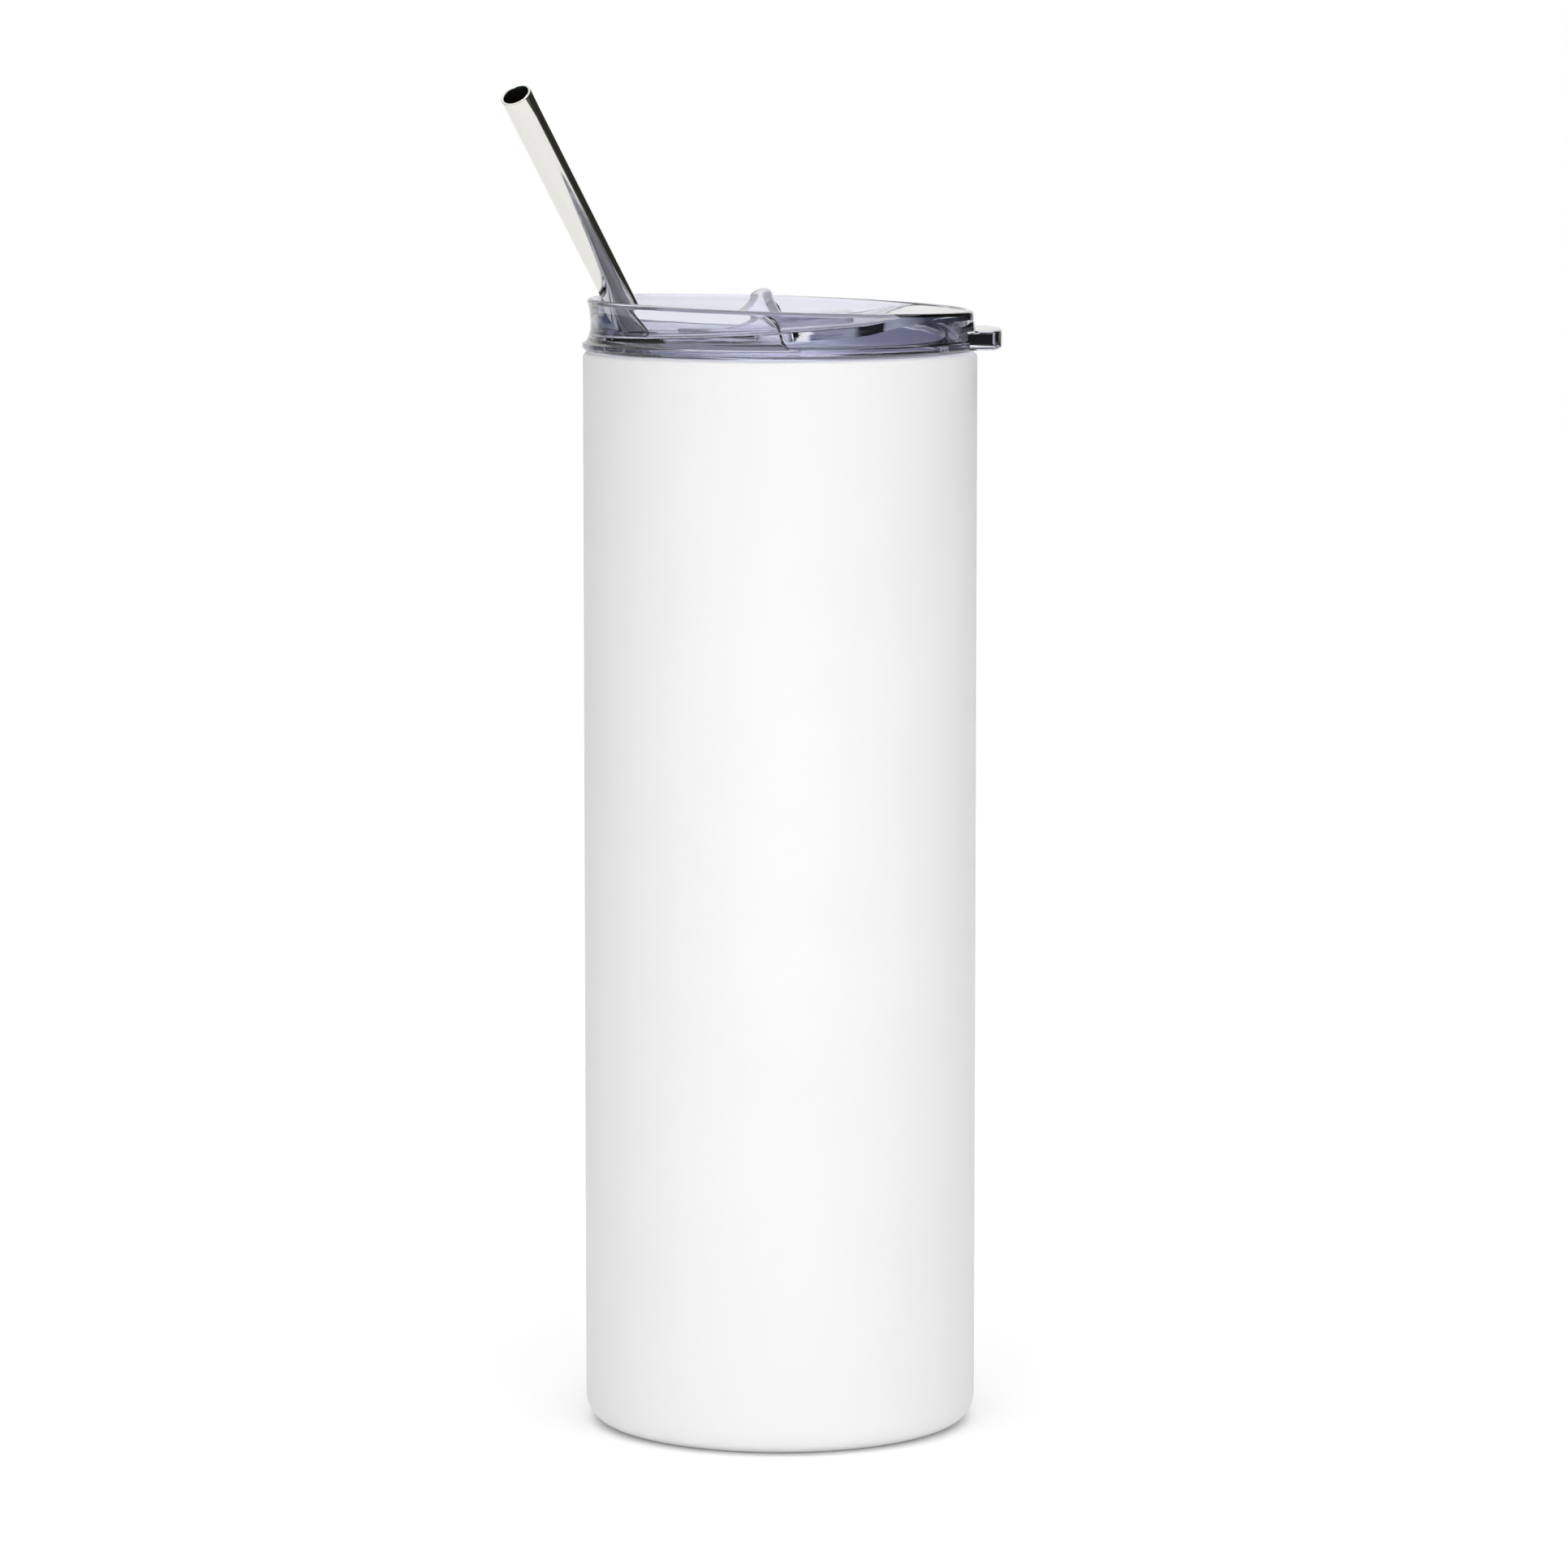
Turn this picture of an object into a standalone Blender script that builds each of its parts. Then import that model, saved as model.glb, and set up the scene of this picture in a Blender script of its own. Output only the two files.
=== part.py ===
"""Tall double-wall steel tumbler with a clear press-in lid, a slider and a bent straw.

Lengths are in metres, +Z is up, and the origin is the middle of the base on the
surface that the cup stands on. The pull tab points to +X and the drinking lip to -X.
"""

import math

import bmesh
import bpy
from mathutils import Matrix, Vector

# Fits and fineness
SEAT_GAP = 0.0003
WELD_DISTANCE = 0.000001
ROUND_STEPS = 60
HIDDEN_STEPS = 40
SMALL_STEPS = 24
ARC_STEP = math.radians(30)
SHARP_ANGLE = math.radians(35)

# Cup: coated outer shell, bare liner and the vacuum between them
CUP_RADIUS = 0.0365
CUP_HEIGHT = 0.2006
SHEET = 0.0005
VACUUM_GAP = 0.0020
SHOULDER_ROUND = 0.0010
BASE_ROUND = 0.0050
FOOT_WIDTH = 0.0013
HEM_HEIGHT = 0.0028
LINER_ROUND = 0.0055
SEAM_LAND = 0.0008
VACUUM_DEPTH = 0.0036

# Closing plate of the vacuum, its sealing hole and the getter on it
PLATE_LIFT = 0.0004
PLATE_FLANGE = 0.0066
PLATE_ROUND = 0.0012
DIMPLE_RADIUS = 0.0055
DIMPLE_DEPTH = 0.0015
DIMPLE_DRAFT = 0.0005
VENT_RADIUS = 0.0010
BEAD_DROP = 0.0017
BEAD_ROUND = 0.0005
GETTER_INSET = 0.0105
GETTER_RADIUS = 0.0050
GETTER_HEIGHT = 0.0016
STRAP_WIDTH = 0.0030
STRAP_FOOT = 0.0025
STRAP_SHEET = 0.0003

# Cover that closes the underside of the base
COVER_RECESS = 0.0008
COVER_RIM = 0.0024
COVER_ROUND = 0.0008

# Lid: heights are counted from the face that rests on the cup's mouth
RIM_RISE = 0.00855
RIM_TILT = math.radians(1.87)
RIM_ROUND = 0.0009
LID_WALL = 0.00185
WALL_DRAFT = 0.0006
WALL_FOOT = 0.0022
FLANGE_OVERHANG = 0.00015
FLANGE_STEP = 0.0003
FLANGE_ROUND = 0.0009
WEB = 0.0016
PLUG_CLEARANCE = 0.0008
PLUG_WALL = 0.0018
PLUG_DEPTH = 0.0115
PLUG_ROUND = 0.0006

# Drinking lip: hollow waist round half of the lid's wall
WAIST_DEPTH = 0.00125
WAIST_RISE = 0.0044
WAIST_UPPER_ARC = 0.0120
WAIST_LOWER_ARC = 0.0045
LIP_BEAD = 0.0006
WAIST_FLOOR = 0.0015
WAIST_END = 0.0000
WAIST_END_LEAN = 0.0009
WAIST_TOP_ROUND = 0.0025
WAIST_FOOT_ROUND = 0.0020

# Sloping floor of the well, and the deck that it climbs to beside the tab
FLOOR_RISE = 0.00447
FLOOR_SLOPE = 0.0697
FLOOR_WALL = 0.0016
FLOOR_ROOT = 0.0006
DECK_WIDTH = 0.00687
DECK_STEP = 0.00025
RAMP_STEPS = 8

# Pull tab
TAB_OVERHANG = 0.00445
TAB_HALF_WIDTH = 0.0115
TAB_THICKNESS = 0.0036
TAB_RISE = 0.0004
TAB_ROUND = 0.0006
TAB_STEPS = 6

# Silicone seal in the plug's groove
GROOVE_DROP = 0.0040
GROOVE_HEIGHT = 0.0036
GROOVE_DEPTH = 0.0008
SEAL_LIP_FLAT = 0.0004

# Slider: plate on the floor, thumb fin, and a peg staked through a retainer
SLIDER_NOSE_GAP = 0.0036
SLIDER_LENGTH = 0.0325
SLIDER_TAIL_GAP = 0.0005
SLIDER_HALF_WIDTH = 0.0075
SLIDER_PLATE = 0.0014
SLIDER_NOSE_ROUND = 0.0073
SLIDER_TAIL_ROUND = 0.0020
SLIDER_TRAVEL = 0.0120
FIN_PLACE = -0.0039
FIN_THICKNESS = 0.0022
FIN_HEIGHT = 0.00535
FIN_HALF_LENGTH = 0.0070
FIN_BOW = 0.0016
FIN_FRONT_FLARE = 0.0054
FIN_BACK_FLARE = 0.0019
FIN_END_DROP = 0.12
FIN_STATIONS = (-1.0, -0.85, -0.6, -0.3, 0.0, 0.3, 0.6, 0.85, 1.0)
FIN_LEVELS = (0.0, 0.1, 0.25, 0.45, 0.7, 0.9)
PEG_PLACE = -0.0010
PEG_LENGTH = 0.0040
PEG_WIDTH = 0.0044
HEAD_LIP = 0.0010
HEAD_THICKNESS = 0.0008
RETAINER_LENGTH = 0.0090
RETAINER_WIDTH = 0.0110
RETAINER_THICKNESS = 0.0012
RETAINER_ROUND = 0.0015

# Straw: a long leg straight down through the lid, and a short leg that leans out
STRAW_HOLE_INSET = 0.00013
STRAW_RADIUS = 0.00285
STRAW_WALL = 0.00045
STRAW_HOLE_RADIUS = 0.0041
STRAW_BEND_RISE = 0.0031
STRAW_BEND_RADIUS = 0.0120
STRAW_LEAN = math.radians(40.8)
STRAW_HEADING = math.radians(237.1)
STRAW_MOUTH_LEG = 0.0586
STRAW_BEND_STEPS = 8
STRAW_BEVEL_STEPS = 6

# Sizes that follow from the ones above
LINER_OUTER = CUP_RADIUS - SHEET - VACUUM_GAP
LINER_INNER = LINER_OUTER - SHEET
FOOT_INNER = CUP_RADIUS - BASE_ROUND - FOOT_WIDTH
GETTER_OFFSET = LINER_OUTER - LINER_ROUND - GETTER_INSET
PLATE_HEIGHT = BASE_ROUND + PLATE_LIFT
PLATE_TOP = PLATE_HEIGHT + SHEET
LINER_FLOOR = PLATE_TOP + VACUUM_DEPTH + SHEET
LID_SEAT = CUP_HEIGHT + SEAT_GAP
RIM_FALL = math.tan(RIM_TILT)
FLANGE_RADIUS = CUP_RADIUS + FLANGE_OVERHANG
WALL_RADIUS = FLANGE_RADIUS - FLANGE_STEP
RIM_RADIUS = WALL_RADIUS - WALL_DRAFT
WELL_RADIUS = RIM_RADIUS - LID_WALL
WAIST_RADIUS = WALL_RADIUS - WAIST_DEPTH
TAB_REACH = FLANGE_RADIUS + TAB_OVERHANG
PLUG_RADIUS = LINER_INNER - PLUG_CLEARANCE
PLUG_INNER = PLUG_RADIUS - PLUG_WALL
GROOVE_RADIUS = PLUG_RADIUS - GROOVE_DEPTH
SEAL_TIP = LINER_INNER - SEAT_GAP
STRAW_PLACE = -(PLUG_INNER - STRAW_HOLE_INSET - STRAW_HOLE_RADIUS)
SLIDER_LEFT = STRAW_PLACE + STRAW_HOLE_RADIUS + SLIDER_NOSE_GAP
SLIDER_RIGHT = SLIDER_LEFT + SLIDER_LENGTH
RAMP_START = SLIDER_RIGHT + SLIDER_TAIL_GAP
DECK_START = WELL_RADIUS - DECK_WIDTH
FLOOR_ANGLE = math.atan(FLOOR_SLOPE)
RETAINER_TOP = -FLOOR_WALL - SEAT_GAP
HEAD_TOP = RETAINER_TOP - RETAINER_THICKNESS - SEAT_GAP
CUT_REACH = 2 * CUP_RADIUS


def clear_scene():
    """Remove the objects that the file opened with."""
    for item in list(bpy.data.objects):
        bpy.data.objects.remove(item, do_unlink=True)


def new_collection(name):
    """Add a collection to the scene."""
    collection = bpy.data.collections.new(name)
    bpy.context.scene.collection.children.link(collection)
    return collection


def finish(name, colour, roughness, metallic=0.0, transmission=0.0):
    """Make a Principled material."""
    material = bpy.data.materials.new(name)
    material.use_nodes = True
    shader = material.node_tree.nodes["Principled BSDF"]
    shader.inputs["Base Color"].default_value = (*colour, 1.0)
    shader.inputs["Roughness"].default_value = roughness
    shader.inputs["Metallic"].default_value = metallic
    shader.inputs["Transmission Weight"].default_value = transmission
    return material


def place(name, mesh, parent=None, material=None):
    """Put a mesh into the scene: a part if it has a material, or else a hidden cutter."""
    item = bpy.data.objects.new(name, mesh)
    item.parent = parent
    if material:
        mesh.materials.append(material)
        parts.objects.link(item)
    else:
        item.hide_render = True
        item.display_type = "WIRE"
        cutters.objects.link(item)
    return item


def axis_empty(name, location, parent=None, slope=0.0):
    """Add an empty on a joint's axis, turned about Y so that +X climbs by the slope."""
    empty = bpy.data.objects.new(name, None)
    empty.location = location
    empty.rotation_euler = (0.0, -slope, 0.0)
    empty.parent = parent
    parts.objects.link(empty)
    return empty


def rounded(corners, closed=True):
    """Turn (u, v, radius) corners into points, with an arc at each corner that has a radius."""
    points = []
    last = len(corners) - 1
    for index, (u, v, radius) in enumerate(corners):
        corner = Vector((u, v))
        is_end = not closed and index in (0, last)
        if radius == 0.0 or is_end:
            points.append(corner)
            continue
        back = (Vector(corners[index - 1][:2]) - corner).normalized()
        ahead = (Vector(corners[(index + 1) % len(corners)][:2]) - corner).normalized()
        half = back.angle(ahead) / 2
        centre = corner + (back + ahead).normalized() * (radius / math.sin(half))
        reach = radius / math.tan(half)
        first = corner + back * reach - centre
        final = corner + ahead * reach - centre
        start = math.atan2(first.y, first.x)
        turn = math.atan2(final.y, final.x) - start
        turn = (turn + math.pi) % (2 * math.pi) - math.pi
        steps = max(1, math.ceil(abs(turn) / ARC_STEP))
        for step in range(steps + 1):
            angle = start + turn * step / steps
            points.append(centre + radius * Vector((math.cos(angle), math.sin(angle))))
    return points


def turned(name, corners, parent=None, material=None, closed=True, sides=ROUND_STEPS):
    """Spin a profile of (radius, height, rounding) corners about Z.

    The profile runs down its outer side. An open one starts and ends on the axis.
    """
    points = rounded(corners, closed)
    edges = [(index, index + 1) for index in range(len(points) - 1)]
    if closed:
        edges.append((len(points) - 1, 0))
    mesh = bpy.data.meshes.new(name)
    mesh.from_pydata([(radius, 0.0, height) for radius, height in points], edges, [])
    item = place(name, mesh, parent, material)
    spin = item.modifiers.new("spin", "SCREW")
    spin.axis = "Z"
    spin.steps = sides
    spin.render_steps = sides
    spin.use_merge_vertices = True
    spin.merge_threshold = WELD_DISTANCE
    return item


def mesh_from_curve(name, curve, matrix):
    """Turn a curve into a closed mesh and move it by a matrix."""
    guide = bpy.data.objects.new(name, curve)
    cutters.objects.link(guide)
    bpy.context.view_layer.update()
    graph = bpy.context.evaluated_depsgraph_get()
    mesh = bpy.data.meshes.new_from_object(guide.evaluated_get(graph))
    bpy.data.objects.remove(guide, do_unlink=True)
    shape = bmesh.new()
    shape.from_mesh(mesh)
    bmesh.ops.remove_doubles(shape, verts=shape.verts, dist=WELD_DISTANCE)
    bmesh.ops.recalc_face_normals(shape, faces=shape.faces)
    shape.to_mesh(mesh)
    shape.free()
    mesh.transform(matrix)
    mesh.name = name
    return mesh


def prism(name, outline, low, high, parent=None, material=None, along_y=False):
    """Extrude a flat outline from low to high along Z, or along Y for an (x, z) outline."""
    curve = bpy.data.curves.new(name, "CURVE")
    curve.dimensions = "2D"
    curve.fill_mode = "BOTH"
    curve.extrude = (high - low) / 2
    spline = curve.splines.new("POLY")
    spline.points.add(len(outline) - 1)
    for point, (u, v) in zip(spline.points, outline):
        point.co = (u, v, 0.0, 1.0)
    spline.use_cyclic_u = True
    matrix = Matrix.Translation((0.0, 0.0, (low + high) / 2))
    if along_y:
        matrix = Matrix.Rotation(math.pi / 2, 4, "X") @ matrix
    return place(name, mesh_from_curve(name, curve, matrix), parent, material)


def tube(name, path, radius, parent=None, material=None):
    """Run a round bar along a path of points."""
    curve = bpy.data.curves.new(name, "CURVE")
    curve.dimensions = "3D"
    curve.bevel_depth = radius
    curve.bevel_resolution = STRAW_BEVEL_STEPS
    curve.use_fill_caps = True
    spline = curve.splines.new("POLY")
    spline.points.add(len(path) - 1)
    for point, position in zip(spline.points, path):
        point.co = (*position, 1.0)
    return place(name, mesh_from_curve(name, curve, Matrix()), parent, material)


def block(name, size, centre, parent=None):
    """Make a box of a size about a centre."""
    mesh = bpy.data.meshes.new(name)
    shape = bmesh.new()
    matrix = Matrix.Translation(centre) @ Matrix.Diagonal((*size, 1.0))
    bmesh.ops.create_cube(shape, size=1.0, matrix=matrix)
    shape.to_mesh(mesh)
    shape.free()
    return place(name, mesh, parent)


def rod(name, radius, low, high, x, parent=None):
    """Make an upright cylinder whose axis stands at x."""
    mesh = bpy.data.meshes.new(name)
    shape = bmesh.new()
    bmesh.ops.create_cone(
        shape,
        cap_ends=True,
        segments=ROUND_STEPS,
        radius1=radius,
        radius2=radius,
        depth=high - low,
        matrix=Matrix.Translation((x, 0.0, (low + high) / 2)),
    )
    shape.to_mesh(mesh)
    shape.free()
    return place(name, mesh, parent)


def loft(name, sections, parent=None):
    """Skin a row of like sections, and close both ends."""
    mesh = bpy.data.meshes.new(name)
    shape = bmesh.new()
    rings = [[shape.verts.new(point) for point in section] for section in sections]
    for near, far in zip(rings, rings[1:]):
        for index in range(len(near)):
            after = (index + 1) % len(near)
            shape.faces.new((near[index], near[after], far[after], far[index]))
    shape.faces.new(rings[0])
    shape.faces.new(rings[-1])
    bmesh.ops.recalc_face_normals(shape, faces=shape.faces)
    shape.to_mesh(mesh)
    shape.free()
    return place(name, mesh, parent)


def combine(item, other, operation):
    """Add a Boolean of another object: UNION, DIFFERENCE or INTERSECT."""
    boolean = item.modifiers.new(operation.lower(), "BOOLEAN")
    boolean.operation = operation
    boolean.solver = "EXACT"
    boolean.object = other


def bake(item):
    """Give an object the mesh that its modifiers make, smooth between its sharp edges."""
    bpy.context.view_layer.update()
    graph = bpy.context.evaluated_depsgraph_get()
    mesh = bpy.data.meshes.new_from_object(item.evaluated_get(graph))
    item.modifiers.clear()
    item.data = mesh
    mesh.shade_smooth()
    mesh.set_sharp_from_angle(angle=SHARP_ANGLE)


def make_cup():
    """Outer shell, liner and the liner's pressed bottom."""
    coat = finish("white_coat", (0.90, 0.90, 0.89), 0.35)
    steel = finish("bare_steel", (0.62, 0.61, 0.59), 0.3, metallic=1.0)
    lip = LINER_OUTER + SEAT_GAP
    shell_inner = CUP_RADIUS - SHEET
    shell = [
        (lip, CUP_HEIGHT, 0.0),
        (CUP_RADIUS, CUP_HEIGHT, SHOULDER_ROUND),
        (CUP_RADIUS, 0.0, BASE_ROUND),
        (FOOT_INNER, 0.0, SHEET),
        (FOOT_INNER, HEM_HEIGHT, 0.0),
        (FOOT_INNER + SHEET, HEM_HEIGHT, 0.0),
        (FOOT_INNER + SHEET, SHEET, 0.0),
        (shell_inner, SHEET, BASE_ROUND - SHEET),
        (shell_inner, CUP_HEIGHT - SHEET, SHOULDER_ROUND - SHEET),
        (lip, CUP_HEIGHT - SHEET, 0.0),
    ]
    bake(turned("outer_shell", shell, material=coat))
    seam = LINER_FLOOR + LINER_ROUND + SEAM_LAND
    liner = [
        (LINER_INNER, CUP_HEIGHT, 0.0),
        (LINER_OUTER, CUP_HEIGHT, 0.0),
        (LINER_OUTER, seam, 0.0),
        (LINER_INNER, seam, 0.0),
    ]
    bake(turned("inner_liner", liner, material=steel))
    dish = [
        (0.0, LINER_FLOOR, 0.0),
        (LINER_INNER, LINER_FLOOR, LINER_ROUND),
        (LINER_INNER, seam - SEAT_GAP, 0.0),
        (LINER_OUTER, seam - SEAT_GAP, 0.0),
        (LINER_OUTER, LINER_FLOOR - SHEET, LINER_ROUND + SHEET),
        (0.0, LINER_FLOOR - SHEET, 0.0),
    ]
    bake(turned("liner_base", dish, material=steel, closed=False, sides=HIDDEN_STEPS))


def make_base():
    """Closing plate with its sealed vent, the getter under its strap, and the base cover."""
    steel = finish("plate_steel", (0.58, 0.57, 0.55), 0.4, metallic=1.0)
    glass = finish("solder_glass", (0.16, 0.13, 0.11), 0.2)
    alloy = finish("getter_alloy", (0.22, 0.22, 0.23), 0.8)
    cover_steel = finish("cover_steel", (0.66, 0.65, 0.63), 0.25, metallic=1.0)
    rim = CUP_RADIUS - SHEET - SEAT_GAP
    dimple_foot = DIMPLE_RADIUS + DIMPLE_DRAFT
    dimple_under = PLATE_HEIGHT + DIMPLE_DEPTH
    plate = [
        (rim, PLATE_HEIGHT + PLATE_FLANGE, 0.0),
        (rim, PLATE_HEIGHT, PLATE_ROUND),
        (dimple_foot, PLATE_HEIGHT, 0.0),
        (DIMPLE_RADIUS, dimple_under, 0.0),
        (VENT_RADIUS, dimple_under, 0.0),
        (VENT_RADIUS, dimple_under + SHEET, 0.0),
        (DIMPLE_RADIUS + SHEET, dimple_under + SHEET, 0.0),
        (dimple_foot + SHEET, PLATE_TOP, 0.0),
        (rim - SHEET, PLATE_TOP, PLATE_ROUND - SHEET),
        (rim - SHEET, PLATE_HEIGHT + PLATE_FLANGE, 0.0),
    ]
    bake(turned("vacuum_plate", plate, material=steel, sides=HIDDEN_STEPS))
    bead_radius = DIMPLE_RADIUS - SEAT_GAP - BEAD_ROUND
    bead_top = dimple_under - SEAT_GAP
    neck = VENT_RADIUS - SEAT_GAP
    bead = [
        (0.0, dimple_under + SHEET, 0.0),
        (neck, dimple_under + SHEET, 0.0),
        (neck, bead_top, 0.0),
        (bead_radius, bead_top, BEAD_ROUND),
        (bead_radius - BEAD_ROUND, bead_top - BEAD_DROP / 2, BEAD_ROUND),
        (0.0, bead_top - BEAD_DROP, 0.0),
    ]
    bake(turned("solder_bead", bead, material=glass, closed=False, sides=SMALL_STEPS))
    getter_axis = axis_empty("getter_place", (GETTER_OFFSET, 0.0, PLATE_TOP))
    pellet_top = SEAT_GAP + GETTER_HEIGHT
    pellet = [
        (0.0, pellet_top, 0.0),
        (GETTER_RADIUS, pellet_top, SEAT_GAP),
        (GETTER_RADIUS, SEAT_GAP, 0.0),
        (0.0, SEAT_GAP, 0.0),
    ]
    bake(turned("getter_pellet", pellet, getter_axis, alloy, closed=False, sides=SMALL_STEPS))
    side = GETTER_RADIUS + SEAT_GAP
    toe = side + STRAP_SHEET + STRAP_FOOT
    bridge = pellet_top + SEAT_GAP
    strap = [
        (-toe, SEAT_GAP),
        (-side, SEAT_GAP),
        (-side, bridge),
        (side, bridge),
        (side, SEAT_GAP),
        (toe, SEAT_GAP),
        (toe, SEAT_GAP + STRAP_SHEET),
        (side + STRAP_SHEET, SEAT_GAP + STRAP_SHEET),
        (side + STRAP_SHEET, bridge + STRAP_SHEET),
        (-side - STRAP_SHEET, bridge + STRAP_SHEET),
        (-side - STRAP_SHEET, SEAT_GAP + STRAP_SHEET),
        (-toe, SEAT_GAP + STRAP_SHEET),
    ]
    half = STRAP_WIDTH / 2
    prism("getter_strap", strap, -half, half, getter_axis, steel, along_y=True)
    edge = FOOT_INNER - SEAT_GAP
    cover = [
        (0.0, COVER_RECESS + SHEET, 0.0),
        (edge - SHEET, COVER_RECESS + SHEET, COVER_ROUND - SHEET),
        (edge - SHEET, COVER_RECESS + COVER_RIM, 0.0),
        (edge, COVER_RECESS + COVER_RIM, 0.0),
        (edge, COVER_RECESS, COVER_ROUND),
        (0.0, COVER_RECESS, 0.0),
    ]
    bake(turned("base_cover", cover, material=cover_steel, closed=False, sides=HIDDEN_STEPS))


def floor_height(x):
    """Height of the well's floor over the lid's seat: a slope, a ramp, then the deck."""
    slope = FLOOR_RISE + FLOOR_SLOPE * x
    deck = RIM_RISE - DECK_STEP - RIM_FALL * x
    share = (x - RAMP_START) / (DECK_START - RAMP_START)
    share = min(max(share, 0.0), 1.0)
    ease = share * share * (3 - 2 * share)
    return slope + (deck - slope) * ease


def waist_cutter(parent):
    """Ring that hollows the wall under the drinking lip, ended by an S-shaped crease."""
    ring = [(CUT_REACH, RIM_RISE, 0.0), (CUT_REACH, WAIST_FLOOR, 0.0)]
    foot_angle = math.asin((WAIST_RISE - WAIST_FLOOR) / WAIST_LOWER_ARC)
    top_angle = math.asin((RIM_RISE - WAIST_RISE) / WAIST_UPPER_ARC)
    steps = 4
    for step in range(steps):
        angle = foot_angle * (1 - step / steps)
        sweep = WAIST_LOWER_ARC * (1 - math.cos(angle))
        ring.append((WAIST_RADIUS + sweep, WAIST_RISE - WAIST_LOWER_ARC * math.sin(angle), 0.0))
    for step in range(steps + 1):
        angle = top_angle * step / steps
        sweep = WAIST_UPPER_ARC * (1 - math.cos(angle))
        ring.append((WAIST_RADIUS + sweep, WAIST_RISE + WAIST_UPPER_ARC * math.sin(angle), 0.0))
    cutter = turned("waist_ring", ring, parent)
    crease_foot = WAIST_FLOOR - LIP_BEAD / 2
    crease = [
        (-CUT_REACH, RIM_RISE - LIP_BEAD, 0.0),
        (WAIST_END - WAIST_END_LEAN, RIM_RISE - LIP_BEAD, WAIST_TOP_ROUND),
        (WAIST_END + WAIST_END_LEAN, crease_foot, WAIST_FOOT_ROUND),
        (CUP_RADIUS / 2, crease_foot, 0.0),
        (CUP_RADIUS / 2, 0.0, 0.0),
        (-CUT_REACH, 0.0, 0.0),
    ]
    outline = rounded(crease)
    side = prism("waist_side", outline, -CUT_REACH, CUT_REACH, parent, along_y=True)
    combine(cutter, side, "INTERSECT")
    return cutter


def lean_rim(mesh):
    """Lift the lip side of the rim and drop the tab side, growing from the wall's foot."""
    for vertex in mesh.vertices:
        share = (vertex.co.z - WALL_FOOT) / (RIM_RISE - WALL_FOOT)
        vertex.co.z -= RIM_FALL * vertex.co.x * min(max(share, 0.0), 1.0)


def make_floor(parent):
    """Floor of the well: one bent sheet, trimmed round so that it roots in the wall."""
    span = DECK_START - RAMP_START
    stations = [-CUP_RADIUS]
    stations += [RAMP_START + span * step / RAMP_STEPS for step in range(RAMP_STEPS + 1)]
    stations.append(CUP_RADIUS)
    top = [(x, floor_height(x)) for x in stations]
    under = [(x, height - FLOOR_WALL) for x, height in reversed(top)]
    sheet = prism("well_floor", top + under, -CUP_RADIUS, CUP_RADIUS, parent, along_y=True)
    trim = rod("floor_trim", WELL_RADIUS + FLOOR_ROOT, -RIM_RISE, 2 * RIM_RISE, 0.0, parent)
    combine(sheet, trim, "INTERSECT")
    return sheet


def make_tab(parent):
    """Pull tab: an arc-ended tongue with rounded edges."""
    spread = math.asin(TAB_HALF_WIDTH / TAB_REACH)
    root = WELL_RADIUS + LID_WALL / 2
    outline = [(root * math.cos(spread), TAB_HALF_WIDTH), (root * math.cos(spread), -TAB_HALF_WIDTH)]
    for step in range(TAB_STEPS + 1):
        angle = spread * (2 * step / TAB_STEPS - 1)
        outline.append((TAB_REACH * math.cos(angle), TAB_REACH * math.sin(angle)))
    tab = prism("pull_tab", outline, TAB_RISE, TAB_RISE + TAB_THICKNESS, parent)
    edge = tab.modifiers.new("edge", "BEVEL")
    edge.width = TAB_ROUND
    edge.segments = 2
    edge.limit_method = "ANGLE"
    return tab


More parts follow.
